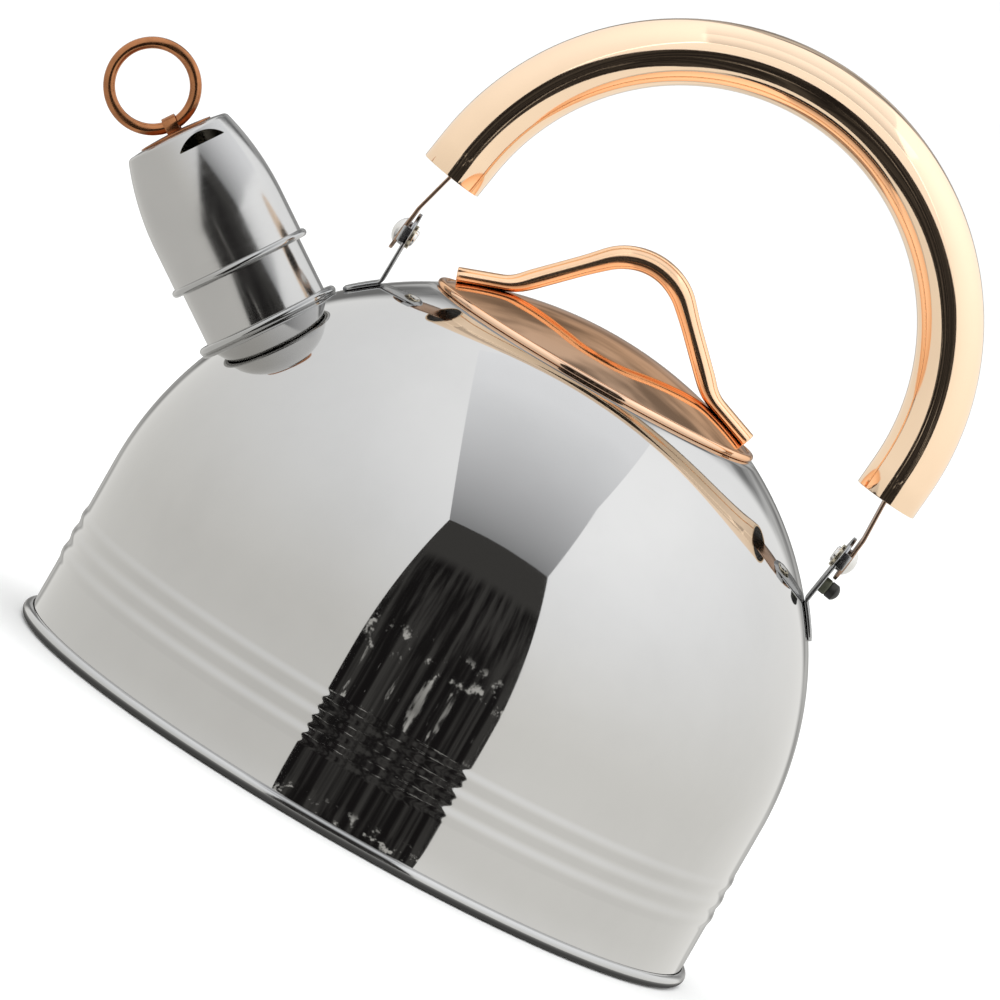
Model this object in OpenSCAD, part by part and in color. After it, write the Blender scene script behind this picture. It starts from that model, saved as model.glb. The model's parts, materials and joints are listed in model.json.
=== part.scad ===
// Stovetop whistling kettle, built as the separate pieces it is made of.
// Millimetres, +Z up. The origin is the middle of the base disc's underside, on the body's axis.
// The spout points to -X, the front is -Y, and the handle folds down towards +Y.

/* [Body] */
// Outer radius of the upright wall
body_r = 104.8; // [95:0.01:130]
// Height at which the wall turns into the dome
wall_h = 50; // [42:0.5:70]
// Radius of the dome's arc, seen from the side
dome_r = 99; // [90:0.5:125]
// Thickness of the drawn steel sheet
sheet = 0.6; // [0.5:0.05:0.8]
// Number of raised beads pressed into the wall
bead_count = 3; // [1:1:3]
// Height of the lowest bead's middle
bead_z = 21.2; // [18:0.1:24]
// Distance from one bead to the next
bead_pitch = 5.7; // [4.8:0.1:6.5]
// How far a bead stands proud
bead_h = 0.45; // [0.2:0.05:0.7]

/* [Base] */
// How far the folded hem stands out past the wall
hem_out = 2.2; // [1.9:0.1:3]
// Height of the folded hem
hem_h = 3.8; // [3.2:0.1:5]
// Radius of the heat-spreading disc
spreader_r = 92; // [70:0.5:94]
// Thickness of the heat-spreading disc
spreader_t = 2.6; // [1.5:0.1:4]
// Thickness of the steel cover under the disc
cover_t = 0.5; // [0.4:0.1:0.8]

/* [Mouth and lid] */
// Inner radius of the mouth's down-turned neck
mouth_r = 46; // [38:0.5:47]
// Depth of the down-turned neck
neck_h = 6.8; // [4:0.1:10]
// Outer radius of the lid's rolled rim
lid_r = 50.7; // [48.5:0.01:61]
// Radius of the lid's domed crown
lid_crown_r = 120; // [100:1:200]
// Thickness of the lid's sheet
lid_sheet = 0.5; // [0.4:0.05:0.8]
// Diameter of the lid's rolled rim
lid_roll_d = 2.2; // [1.6:0.1:3]
// Depth of the lid's skirt below its seat
skirt_h = 11; // [8:0.5:15]
// Gap all round between the skirt and the neck
skirt_gap = 0.4; // [0.3:0.05:0.8]

/* [Lid knob] */
// Diameter of the bent knob bar at its top
knob_d = 6.7; // [5.5:0.1:8]
// How much slimmer the bar is along its legs
knob_slim = 1; // [0.6:0.1:1.5]
// Height of the bar's middle over the lid's crown
knob_rise = 22.6; // [20:0.1:30]
// Radius of the bar's top bend
knob_bend_r = 17.9; // [14:0.1:20]
// Distance from the middle to where the bar's feet start
knob_reach = 31.7; // [29:0.1:34]
// Thickness of a flattened foot
foot_t = 4.6; // [3:0.1:5.5]
// Width of a flattened foot
foot_w = 7.5; // [6.5:0.5:12]
// Length of a flattened foot
foot_len = 16.2; // [10:0.1:18]

/* [Spout] */
// Angle of the spout from upright
spout_tilt = 55.8; // [45:0.1:62]
// Outer radius of the spout tube
spout_r = 18.2; // [15:0.01:20]
// Wall thickness of the spout tube
spout_wall = 0.6; // [0.5:0.05:1]
// How far the tube stands out past the dome
spout_len = 36.5; // [30:0.5:60]
// Diameter of the ring rolled round the spout's root
collar_d = 2.6; // [2:0.1:4]

/* [Whistle cap] */
// Gap all round between the spout and the cap's rolled end
cap_gap = 0.35; // [0.3:0.05:0.8]
// Thickness of the cap's sheet
cap_sheet = 0.5; // [0.4:0.05:0.8]
// Diameter of the rolled bead at the cap's open end
cap_bead_d = 2.3; // [1.8:0.1:3]
// Length of the cap from its bead to its top corner
cap_len = 39.6; // [34:0.1:44]
// How far the cap reaches past the spout's end
cap_over = 20; // [18:0.5:24]
// Length of the stretch that narrows towards the top
cap_taper_len = 26.3; // [22:0.1:28]
// Radius of the narrowing's arc
cap_taper_r = 81; // [75:1:110]
// How far the cap's top is crowned
cap_crown = 1.2; // [0.6:0.1:2]
// Radius of the hole through each whistle disc
whistle_hole_r = 2.2; // [1.5:0.1:3]
// Height of the chamber between the two whistle discs
whistle_chamber = 5; // [4:0.1:6]
// Length of a steam slot's straight edge
slot_len = 15; // [8:0.5:16]
// Height of a steam slot at its middle
slot_h = 3.5; // [2.5:0.1:4]
// Distance from a steam slot's straight edge to the cap's top corner
slot_down = 4.9; // [4.2:0.1:8]

/* [Cap ring] */
// Outer diameter of the pull ring
ring_d = 27.8; // [22:0.1:32]
// Diameter of the pull ring's wire
ring_wire = 3.4; // [2.5:0.1:4]
// Radius of the thin plate under the ring
plate_r = 10.8; // [8:0.1:12]
// Thickness of that plate
plate_t = 0.4; // [0.3:0.1:1]
// Length of the staple that holds the ring
staple_w = 4; // [3:0.1:5]
// Thickness of the staple's strip
staple_t = 0.7; // [0.5:0.1:1]

/* [Handle] */
// Distance of the left pivot in from the wall
pivot_in_left = 38.4; // [34:0.1:40]
// Distance of the right pivot in from the wall
pivot_in_right = 16.8; // [14:0.1:22]
// Height of the left pivot over the dome beneath it
pivot_up_left = 17.6; // [17:0.1:24]
// Height of the right pivot over the dome beneath it
pivot_up_right = 21.9; // [21:0.1:26]
// Diameter of the tubular grip
grip_d = 18.8; // [15.5:0.01:23]
// Wall thickness of the grip tube
grip_wall = 1; // [0.8:0.1:2]
// How far the grip's arc lies inside the pivots
grip_in = 2.1; // [1:0.1:4]
// Height of the grip arc's middle over the pivots
grip_rise = 26.1; // [24:0.1:40]
// Angle by which the grip's ends stop short of a half circle
grip_open = 2.2; // [0:0.1:6]
// Straight length at each end of the grip
grip_leg = 8.5; // [4:0.1:12]
// Depth of the plug in each end of the grip
plug_len = 7; // [4:0.5:8]
// Width of the steel strap
strap_w = 12; // [10:0.5:14]
// Thickness of the steel strap
strap_t = 1; // [0.8:0.1:2]

/* [Brackets and rivets] */
// Lean of the left bracket's ear from upright
ear_lean_left = 1.2; // [0:0.1:6]
// Lean of the right bracket's ear from upright
ear_lean_right = 9.1; // [6:0.1:10]
// Thickness of the bracket strip
bracket_t = 1; // [0.8:0.1:2]
// Width of the bracket strip
bracket_w = 14; // [12:0.5:18]
// How far a bracket's foot reaches out from its ear
foot_run = 7.5; // [6:0.1:12]
// Gap between the bracket's ear and the strap
ear_gap = 1.2; // [1:0.1:2.5]
// Height of the lug that stops the strap in front
lug_h = 4.8; // [4:0.1:8]
// Radius of a rivet's shank
rivet_r = 2.5; // [2:0.1:3]
// Radius of a rivet's domed head
head_r = 4; // [3.5:0.1:5]
// Height of a rivet's domed head
head_h = 2; // [1.5:0.1:2.5]
// Radius of the washers on a rivet
washer_r = 3.6; // [3.2:0.1:5]
// Thickness of the washer behind a bracket
washer_t = 1; // [0.6:0.1:1.5]
// Radius of the buffer stud under the right strap
stud_r = 2.4; // [2:0.1:3]
// Length of the buffer stud's metal base
stud_base_len = 2.4; // [1.5:0.1:3]
// Length of the buffer stud's rubber end
stud_cap_len = 3.4; // [2.5:0.1:5]

/* [Clearances] */
// Radial running clearance of the strap on its rivets
pivot_fit = 0.05; // [0.02:0.01:0.1]
// Side play of the strap between head and washer
side_play = 0.15; // [0.1:0.05:0.3]
// Gap where a lift-off piece seats
seat_gap = 0.05; // [0.02:0.01:0.1]

/* [Hidden] */
$fn = 96;
trim_fn = 360;
far = 400;

// Body: the dome's arc stands off the axis, so that it runs into the wall without a step.
dome_off = body_r - dome_r;
function dome_z(r) = wall_h + sqrt(pow(dome_r, 2) - pow(r - dome_off, 2));
land = 0.7;
seat_z = dome_z(lid_r + land);
bead_half = 2.3;
bead_arc_r = (pow(bead_half, 2) + pow(bead_h, 2)) / (2 * bead_h);

// Base, from the floor up: cover, spreading disc, pan. The wall's foot is folded into the hem.
pan_z = cover_t + spreader_t;
hem_lift = 0.3;
hem_floor = 1.6;
hem_skin = 0.8;
hem_slot = 0.3;
hem_r = body_r + hem_out;
fold_z = hem_lift + hem_floor;
fold_r = hem_r - hem_skin;

// Lid: its rolled rim seats on the flat land round the mouth.
roll_r = lid_roll_d / 2;
roll_at_r = lid_r - roll_r;
roll_z = seat_z + seat_gap + roll_r;
crown_z = roll_z - sqrt(pow(lid_crown_r, 2) - pow(roll_at_r, 2));
lid_top_r = lid_crown_r + lid_sheet / 2;
lid_under_r = lid_crown_r - lid_sheet / 2;
skirt_r = mouth_r - skirt_gap;

// Knob: a top bend, two legs at 45 degrees, and two feet that lie along the lid.
knob_top_z = crown_z + lid_top_r + knob_rise;
knob_mid_z = knob_top_z - knob_bend_r;
leg_x = knob_bend_r * sin(45);
leg_z = knob_mid_z + knob_bend_r * cos(45);
knee_z = leg_z - (knob_reach - leg_x);
leg_len = (knob_reach - leg_x) / sin(45);
leg_d = knob_d - knob_slim;
knee_swell = 0.3;
foot_sink = 0.2;
foot_slope = 20;
toe_r = lid_top_r + foot_t / 2 - foot_sink;
toe_a = asin((knob_reach + foot_len * cos(foot_slope)) / toe_r);
toe = [toe_r * sin(toe_a), crown_z + toe_r * cos(toe_a)];

// Spout: its axis runs square to the dome, so its places are distances from the dome arc's middle.
spout_in = 4.5;
spout_tip = dome_r + spout_len;
spout_root = dome_r - spout_in;
collar_web = 0.3;
collar_lift = 0.3 * collar_d;
collar_r = spout_r + collar_web + collar_d / 2;
collar_s = sqrt(pow(dome_r, 2) - pow(collar_r, 2)) + collar_lift;

// Cap: the lower whistle disc seats on the spout's end.
bead_out = 0.3;
cap_bead_r = spout_r + cap_gap + cap_bead_d / 2;
cap_in_r = cap_bead_r - bead_out - cap_sheet / 2;
cap_r = cap_in_r + cap_sheet;
cap_top = spout_tip + cap_over;
cap_bead_s = cap_top - cap_len;
taper_s = cap_top - cap_taper_len;
cap_top_r = cap_r - cap_taper_r + sqrt(pow(cap_taper_r, 2) - pow(cap_taper_len, 2));
crown_r = (pow(cap_top_r, 2) + pow(cap_crown, 2)) / (2 * cap_crown);
crown_s = cap_top + cap_crown;
disc_s = spout_tip + seat_gap;
disc_t = 0.6;
slot_angles = [26, 220];
cup_rim_s = disc_s + disc_t + whistle_chamber / 2;
slot_arc_r = (pow(slot_len / 2, 2) + pow(slot_h, 2)) / (2 * slot_h);

// Pull ring, standing in line with the cap, its wire held by the staple.
wire_r = ring_wire / 2;
ring_mid_r = ring_d / 2 - wire_r;
ring_play = 0.3;
ring_lift = 0.2;
wire_s = crown_s + plate_t + ring_lift + wire_r;
ring_s = wire_s + ring_mid_r;

// Handle: the two pivots set its span, its tilt and its middle.
pivot_left = [-(body_r - pivot_in_left), dome_z(body_r - pivot_in_left) + pivot_up_left];
pivot_right = [body_r - pivot_in_right, dome_z(body_r - pivot_in_right) + pivot_up_right];
pivot_mid = (pivot_left + pivot_right) / 2;
pivot_half = norm(pivot_right - pivot_left) / 2;
handle_tilt = atan2(pivot_left[1] - pivot_right[1], pivot_right[0] - pivot_left[0]);
grip_arc_r = pivot_half - grip_in;
grip_r = grip_d / 2;
arc_end = [grip_arc_r * cos(grip_open), grip_rise + grip_arc_r * sin(grip_open)];
leg_end = arc_end + grip_leg * [sin(grip_open), -cos(grip_open)];
end_swell = 0.05;
end_lap = 0.5;
knee_up = 4.4;
strap_knee = washer_r + knee_up;
strap_tail = strap_w / 2;
strap_lap = 2;
strap_thin = 0.2;
strap_start = arc_end - strap_lap * [sin(grip_open), -cos(grip_open)];
strap_path = [strap_start, leg_end, [pivot_half, strap_knee], [pivot_half, -strap_tail]];
ear_at = pivot_half - strap_t / 2 - ear_gap - bracket_t / 2;
ear_r = bracket_w / 2;
ear_long = 50;
lug_lap = 0.7 * strap_t;
tail_h = 0.4;
stud_gap = 0.5;
stud_down = strap_tail + stud_r + stud_gap;
nose_r = 1.2 * stud_r;

// ---- shared shapes and places -------------------------------------------------------------

module spin() {
    rotate_extrude() children();
}

module right_half() {
    intersection() {
        children();
        translate([0, -far / 2]) square([far, far * 2]);
    }
}

module band(r1, r2, z1, z2) {
    translate([r1, z1]) square([r2 - r1, z2 - z1]);
}

// A line of points given a thickness, as an outline with mitred corners.
function side_of(a, b) = [a[1] - b[1], b[0] - a[0]] / norm(b - a);
function mitre(p, i) =
    i == 0 ? side_of(p[0], p[1]) :
    i == len(p) - 1 ? side_of(p[i - 1], p[i]) :
    (side_of(p[i - 1], p[i]) + side_of(p[i], p[i + 1]))
        / (1 + side_of(p[i - 1], p[i]) * side_of(p[i], p[i + 1]));
function ribbon(p, t) = concat(
    [for (i = [0 : len(p) - 1]) p[i] + mitre(p, i) * t / 2],
    [for (i = [len(p) - 1 : -1 : 0]) p[i] - mitre(p, i) * t / 2]);

module in_spout_frame() {
    translate([-dome_off, 0, wall_h]) rotate([0, -spout_tilt, 0]) children();
}

module in_handle_frame() {
    translate([pivot_mid[0], 0, pivot_mid[1]]) rotate([0, handle_tilt, 0]) children();
}

// The handle frame at one pivot, with +X pointing outwards: side is 1 on the right, -1 on the left.
module at_pivot(side) {
    in_handle_frame() mirror([side < 0 ? 1 : 0, 0, 0]) children();
}

// A bracket ear's own frame: +X outwards, +Z up along the ear, the pivot axis through its origin.
module at_ear(side, lean) {
    at_pivot(side) translate([ear_at, 0, 0]) rotate([0, side * (lean - handle_tilt), 0]) children();
}

module bar_x(r, x1, x2) {
    translate([x1, 0, 0]) rotate([0, 90, 0]) cylinder(r = r, h = x2 - x1);
}

// ---- body and base ------------------------------------------------------------------------

// The body's filled outline, drawn in or grown by a sheet's thickness.
module body_outline(grow, top) {
    band(0, body_r + grow, fold_z, wall_h);
    intersection() {
        union() {
            intersection() {
                translate([dome_off, wall_h]) circle(r = dome_r + grow);
                translate([dome_off, wall_h]) square(dome_r * 2);
            }
            band(0, dome_off, wall_h, wall_h + dome_r + grow);
        }
        band(0, far, 0, top);
    }
    for (i = [0 : bead_count - 1])
        translate([body_r + bead_h - bead_arc_r, bead_z + i * bead_pitch]) circle(r = bead_arc_r + grow);
}

module dome_block(grow) {
    rotate_extrude($fn = trim_fn) body_outline(grow, far, $fn = trim_fn * 2);
}

module body_shell() {
    color("silver") difference() {
        spin() {
            difference() {
                body_outline(0, seat_z);
                body_outline(-sheet, seat_z - sheet);
                band(0, body_r - sheet, 0, bead_z - bead_half);
                band(0, mouth_r, 0, far);
            }
            band(mouth_r, mouth_r + sheet, seat_z - neck_h, seat_z);
            band(body_r - sheet, fold_r, fold_z, fold_z + sheet);
        }
        in_spout_frame() translate([0, 0, dome_r / 2]) cylinder(r = spout_r, h = dome_r);
    }
}

module base_pan() {
    roll = hem_h / 2;
    color("gainsboro") spin() {
        difference() {
            union() {
                band(body_r - 2 * sheet, hem_r - roll, hem_lift, hem_lift + hem_h);
                translate([hem_r - roll, hem_lift + roll]) circle(r = roll);
            }
            band(body_r - sheet, body_r + hem_slot, fold_z, far);
            band(body_r - sheet, fold_r, fold_z, fold_z + sheet);
        }
        band(0, body_r - sheet, pan_z, pan_z + sheet);
    }
}

module heat_spreader() {
    color("darkgray") translate([0, 0, cover_t]) cylinder(r = spreader_r, h = spreader_t);
}

module base_cover() {
    color("silver") difference() {
        cylinder(r = spreader_r + cover_t, h = pan_z);
        translate([0, 0, cover_t]) cylinder(r = spreader_r, h = pan_z);
    }
}

// ---- spout --------------------------------------------------------------------------------

module spout_tube() {
    color("silver") in_spout_frame() spin()
        band(spout_r - spout_wall, spout_r, spout_root, spout_tip);
}

module spout_collar() {
    color("gray") difference() {
        in_spout_frame() spin() {
            translate([collar_r, collar_s]) circle(d = collar_d);
            band(spout_r, collar_r, collar_s - collar_d / 2, collar_s + collar_d / 4);
        }
        dome_block(0);
    }
}

// ---- brackets, rivets and stud ------------------------------------------------------------

module bracket(side, lean) {
    color("lightslategray") difference() {
        union() {
            at_ear(side, lean) {
                bar_x(ear_r, -bracket_t / 2, bracket_t / 2);
                translate([-bracket_t / 2, -ear_r, -ear_long]) cube([bracket_t, bracket_w, ear_long]);
                translate([-bracket_t / 2, -ear_r, -lug_h / 2])
                    cube([bracket_t + ear_gap + lug_lap, ear_r - strap_w / 2 - side_play, lug_h]);
            }
            intersection() {
                dome_block(bracket_t);
                at_ear(side, lean) translate([-bracket_t / 2, -ear_r, -ear_long])
                    cube([bracket_t + foot_run, bracket_w, ear_long]);
            }
        }
        dome_block(0);
        at_pivot(side) bar_x(rivet_r, 0, far);
    }
}

module bracket_left() {
    bracket(-1, ear_lean_left);
}

module bracket_right() {
    bracket(1, ear_lean_right);
}

// Everything behind the ear's back face, or in front of its front face, for trimming what seats on it.
module behind_ear(side, lean) {
    at_ear(side, lean) translate([-far - bracket_t / 2, -far / 2, -far / 2]) cube(far);
}

module before_ear(side, lean) {
    at_ear(side, lean) translate([bracket_t / 2, -far / 2, -far / 2]) cube(far);
}

module rivet(side) {
    head_x = pivot_half + strap_t / 2 + side_play;
    ball_r = (pow(head_r, 2) + pow(head_h, 2)) / (2 * head_h);
    color("whitesmoke") at_pivot(side) rotate([0, 90, 0]) spin() {
        band(0, rivet_r, ear_at - bracket_t - washer_t - tail_h, head_x + head_h / 2);
        right_half() intersection() {
            translate([0, head_x + head_h - ball_r]) circle(r = ball_r);
            band(-far, far, head_x, far);
        }
    }
}

module rivet_left() {
    rivet(-1);
}

module rivet_right() {
    rivet(1);
}

module spacer(side, lean) {
    color("dimgray") intersection() {
        at_pivot(side) difference() {
            bar_x(washer_r, 0, pivot_half - strap_t / 2 - side_play);
            bar_x(rivet_r, 0, far);
        }
        before_ear(side, lean);
    }
}

module spacer_left() {
    spacer(-1, ear_lean_left);
}

module spacer_right() {
    spacer(1, ear_lean_right);
}

module washer(side, lean) {
    color("wheat") intersection() {
        at_pivot(side) difference() {
            bar_x(washer_r, ear_at - bracket_t / 2 - washer_t, far);
            bar_x(rivet_r, 0, far);
        }
        behind_ear(side, lean);
    }
}

module washer_left() {
    washer(-1, ear_lean_left);
}

module washer_right() {
    washer(1, ear_lean_right);
}

module stud_base() {
    color("darkolivegreen") at_ear(1, ear_lean_right) translate([0, 0, -stud_down])
        bar_x(stud_r, bracket_t / 2, bracket_t / 2 + stud_base_len);
}

module stud_buffer() {
    start = bracket_t / 2 + stud_base_len;
    color("black") at_ear(1, ear_lean_right) translate([0, 0, -stud_down]) intersection() {
        bar_x(stud_r, start, start + stud_cap_len);
        translate([start + stud_cap_len - nose_r, 0, 0]) sphere(r = nose_r);
    }
}

// ---- lid ----------------------------------------------------------------------------------

module lid_shell() {
    color("rosybrown") spin() {
        right_half() intersection() {
            difference() {
                translate([0, crown_z]) circle(r = lid_top_r, $fn = trim_fn * 2);
                translate([0, crown_z]) circle(r = lid_under_r, $fn = trim_fn * 2);
            }
            band(-far, roll_at_r, roll_z - roll_r, far);
        }
        translate([roll_at_r, roll_z]) circle(r = roll_r);
    }
}

module lid_skirt() {
    color("silver") spin() intersection() {
        band(skirt_r - lid_sheet, skirt_r, seat_z - skirt_h, far);
        translate([0, crown_z]) circle(r = lid_under_r, $fn = trim_fn * 2);
    }
}

module knob_half() {
    translate([leg_x, 0, leg_z]) rotate([0, 135, 0]) translate([0, 0, -knob_slim])
        cylinder(d = leg_d, h = leg_len + knob_slim);
    translate([knob_reach, 0, knee_z]) sphere(d = leg_d + knee_swell);
    rotate([90, 0, 0]) translate([0, 0, -foot_w / 2]) linear_extrude(foot_w)
        polygon(ribbon([[knob_reach, knee_z], toe], foot_t));
}

module lid_knob() {
    color("burlywood") difference() {
        union() {
            translate([0, 0, knob_mid_z]) rotate([90, 0, 0]) rotate([0, 0, 45])
                rotate_extrude(angle = 90) translate([knob_bend_r, 0]) circle(d = knob_d);
            knob_half();
            mirror([1, 0, 0]) knob_half();
        }
        translate([0, 0, crown_z]) sphere(r = lid_top_r, $fn = trim_fn);
    }
}

// ---- whistle cap --------------------------------------------------------------------------

// The cap's filled outline in its spout frame, drawn in by the sheet's thickness for its inside.
module cap_outline(inset) {
    right_half() intersection() {
        union() {
            band(0, cap_r - inset, cap_bead_s, taper_s);
            intersection() {
                translate([cap_r - cap_taper_r, taper_s]) circle(r = cap_taper_r - inset, $fn = trim_fn * 2);
                band(0, cap_r, taper_s, far);
            }
        }
        translate([0, crown_s - crown_r]) circle(r = crown_r - inset, $fn = trim_fn * 2);
    }
}

module half_moon() {
    intersection() {
        translate([0, slot_h - slot_arc_r]) circle(r = slot_arc_r);
        translate([-slot_len / 2, 0]) square([slot_len, slot_h]);
    }
}

module cap_bead_shape() {
    translate([cap_bead_r, cap_bead_s]) circle(d = cap_bead_d);
}

module cap_shell() {
    color("silver") in_spout_frame() difference() {
        spin() difference() {
            cap_outline(0);
            cap_outline(cap_sheet);
            band(0, cap_in_r, 0, taper_s);
            cap_bead_shape();
        }
        for (a = slot_angles)
            rotate([0, 0, a]) translate([0, 0, cap_top - slot_down])
                rotate([90, 0, 0]) linear_extrude(cap_r * 2) half_moon();
    }
}

module cap_bead() {
    color("gainsboro") in_spout_frame() spin() cap_bead_shape();
}

// A shallow cup with a hole in its floor; two of them, rim to rim, make the whistle.
module whistle_cup(floor_s, rim_s) {
    color("darkkhaki") in_spout_frame() spin() intersection() {
        cap_outline(cap_sheet);
        difference() {
            band(whistle_hole_r, cap_r, min(floor_s, rim_s), max(floor_s + disc_t, rim_s));
            intersection() {
                cap_outline(cap_sheet + disc_t);
                band(0, cap_r, min(floor_s + disc_t, rim_s), max(floor_s, rim_s));
            }
        }
    }
}

module whistle_disc_lower() {
    whistle_cup(disc_s, cup_rim_s);
}

module whistle_disc_upper() {
    whistle_cup(disc_s + disc_t + whistle_chamber, cup_rim_s);
}

module cap_plate() {
    color("peru") in_spout_frame() spin() right_half() intersection() {
        difference() {
            translate([0, crown_s - crown_r]) circle(r = crown_r + plate_t, $fn = trim_fn * 2);
            translate([0, crown_s - crown_r]) circle(r = crown_r, $fn = trim_fn * 2);
        }
        band(-far, plate_r, cap_top, far);
    }
}

module ring_staple() {
    bore_r = wire_r + ring_play;
    bow_r = bore_r + staple_t;
    color("peru") in_spout_frame() difference() {
        translate([-staple_w / 2, 0, 0]) rotate([90, 0, 90]) linear_extrude(staple_w) difference() {
            union() {
                translate([0, wire_s]) circle(r = bow_r);
                band(-bow_r, bow_r, cap_top, wire_s);
            }
            translate([0, wire_s]) circle(r = bore_r);
            band(-bore_r, bore_r, 0, wire_s);
        }
        translate([0, 0, crown_s - crown_r]) sphere(r = crown_r + plate_t, $fn = trim_fn);
    }
}

module pull_ring() {
    color("chocolate") in_spout_frame() translate([0, 0, ring_s]) rotate([90, 0, 0]) spin()
        translate([ring_mid_r, 0]) circle(r = wire_r);
}

// ---- handle -------------------------------------------------------------------------------

module arc_sector() {
    rotate([90, 0, 0]) rotate([0, 0, grip_open]) rotate_extrude(angle = 180 - 2 * grip_open) children();
}

// Along one end of the grip: the origin at the arc's end, +Z back up the tube.
module at_grip_leg(side) {
    mirror([side < 0 ? 1 : 0, 0, 0])
        translate([arc_end[0], 0, arc_end[1]]) rotate([0, -grip_open, 0]) children();
}

module grip_rod(r) {
    translate([0, 0, grip_rise]) arc_sector() translate([grip_arc_r, 0]) circle(r = r);
    for (side = [-1, 1])
        at_grip_leg(side) translate([0, 0, -grip_leg]) cylinder(r = r + end_swell, h = grip_leg + end_lap);
}

module handle_grip() {
    color("bisque") in_handle_frame() difference() {
        grip_rod(grip_r);
        grip_rod(grip_r - grip_wall);
    }
}

module strap_leg() {
    rotate([90, 0, 0]) translate([0, 0, -strap_w / 2]) linear_extrude(strap_w)
        polygon(ribbon(strap_path, strap_t));
}

// The leg's outline seen from the side of the kettle, with the tail rounded about the rivet.
module strap_front() {
    rotate([90, 0, 90]) linear_extrude(far) {
        circle(r = strap_w / 2);
        translate([-strap_w / 2, 0]) square([strap_w, far]);
    }
}

module handle_strap() {
    hidden_t = strap_t - strap_thin;
    hidden_w = strap_w - strap_thin;
    color("sienna") in_handle_frame() difference() {
        union() {
            translate([0, 0, grip_rise]) arc_sector()
                translate([grip_arc_r - hidden_t / 2, -hidden_w / 2]) square([hidden_t, hidden_w]);
            for (side = [0, 1])
                mirror([side, 0, 0]) intersection() {
                    strap_leg();
                    strap_front();
                }
        }
        bar_x(rivet_r + pivot_fit, -far / 2, far / 2);
    }
}

module grip_plug(side) {
    color("black") in_handle_frame() difference() {
        at_grip_leg(side) translate([0, 0, -grip_leg])
            cylinder(r = grip_r - grip_wall + end_swell, h = plug_len);
        mirror([side < 0 ? 1 : 0, 0, 0]) strap_leg();
    }
}

module grip_plug_left() {
    grip_plug(-1);
}

module grip_plug_right() {
    grip_plug(1);
}

body_shell();
base_pan();
heat_spreader();
base_cover();
spout_tube();
spout_collar();
bracket_left();
bracket_right();
rivet_left();
rivet_right();
spacer_left();
spacer_right();
washer_left();
washer_right();
stud_base();
stud_buffer();
lid_shell();
lid_skirt();
lid_knob();
cap_shell();
cap_bead();
whistle_disc_lower();
whistle_disc_upper();
cap_plate();
ring_staple();
pull_ring();
handle_grip();
handle_strap();
grip_plug_left();
grip_plug_right();
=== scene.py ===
"""Looks for a stovetop whistling kettle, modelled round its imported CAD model.

Every size in the classes is in millimetres, as on the part's drawing, and MM turns it into Blender's metres.
A sub-assembly is one class: its fields are its sizes, its methods make its pieces and give them their finish.
"""

import json
import logging
import math
from dataclasses import dataclass
from enum import Enum
from typing import Callable, Optional

import bpy
from mathutils import Matrix, Vector


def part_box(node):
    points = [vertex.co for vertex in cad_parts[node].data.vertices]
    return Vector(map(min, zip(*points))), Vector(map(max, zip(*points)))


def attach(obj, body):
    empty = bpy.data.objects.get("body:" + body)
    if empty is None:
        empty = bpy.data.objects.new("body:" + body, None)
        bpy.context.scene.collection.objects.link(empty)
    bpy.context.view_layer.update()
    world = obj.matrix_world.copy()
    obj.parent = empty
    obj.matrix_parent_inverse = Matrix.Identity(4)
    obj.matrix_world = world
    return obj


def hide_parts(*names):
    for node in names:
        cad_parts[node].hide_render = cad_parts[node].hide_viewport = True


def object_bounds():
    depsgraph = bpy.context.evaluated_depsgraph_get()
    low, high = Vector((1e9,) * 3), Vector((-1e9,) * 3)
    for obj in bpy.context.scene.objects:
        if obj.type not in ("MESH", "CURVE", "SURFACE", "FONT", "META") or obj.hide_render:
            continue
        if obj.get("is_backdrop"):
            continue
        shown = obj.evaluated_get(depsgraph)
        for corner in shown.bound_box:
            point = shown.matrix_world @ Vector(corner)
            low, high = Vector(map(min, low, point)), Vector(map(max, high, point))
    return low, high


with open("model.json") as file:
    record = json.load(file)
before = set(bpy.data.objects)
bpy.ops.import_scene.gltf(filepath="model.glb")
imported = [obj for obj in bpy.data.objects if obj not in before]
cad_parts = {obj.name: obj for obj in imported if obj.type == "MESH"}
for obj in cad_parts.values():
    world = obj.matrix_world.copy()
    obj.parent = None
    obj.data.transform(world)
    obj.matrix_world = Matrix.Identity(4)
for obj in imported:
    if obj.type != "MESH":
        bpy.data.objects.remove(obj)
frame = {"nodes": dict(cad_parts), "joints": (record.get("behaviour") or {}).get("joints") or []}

LOG = logging.getLogger("kettle")
MM = 0.001
# Edges that turn by more than this many degrees stay sharp.
SHARP_ANGLE = 35.0
# A corner straighter than this many degrees isn't rounded.
STRAIGHT_ANGLE = 176.0
# How much slower the noise of polishing lines runs along them than across them.
ALONG_GRAIN = 0.03
ROUND_GRAIN = 0.02

Point = tuple[float, float]
Outline = list[Point]
Triple = tuple[float, float, float]
Socket = bpy.types.NodeSocket


class Slot(Enum):
    """The record's material slots."""

    BODY = "polished_steel"
    BASE = "satin_steel"
    CAP = "cap_steel"
    STRIP = "strip_steel"
    RIVET = "rivet_steel"
    WASHER = "washer_brass"
    COPPER = "copper_tone"
    STRAP = "strap_copper"
    RING = "ring_copper"
    SPREADER = "spreader_aluminium"
    BUFFER = "buffer_rubber"
    PLUG = "plug_plastic"


class Body(Enum):
    """The CAD bodies that pieces ride on."""

    KETTLE = "kettle"
    HANDLE = "handle"
    LID = "lid"
    CAP = "cap"
    RING = "ring"


class Grain(Enum):
    """How a metal's polishing lines run."""

    TURNED = "round the piece's axis"
    DRAWN = "along the piece's axis"
    BUFFED = "in no one direction"


# ---- outlines -----------------------------------------------------------------------------


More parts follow.
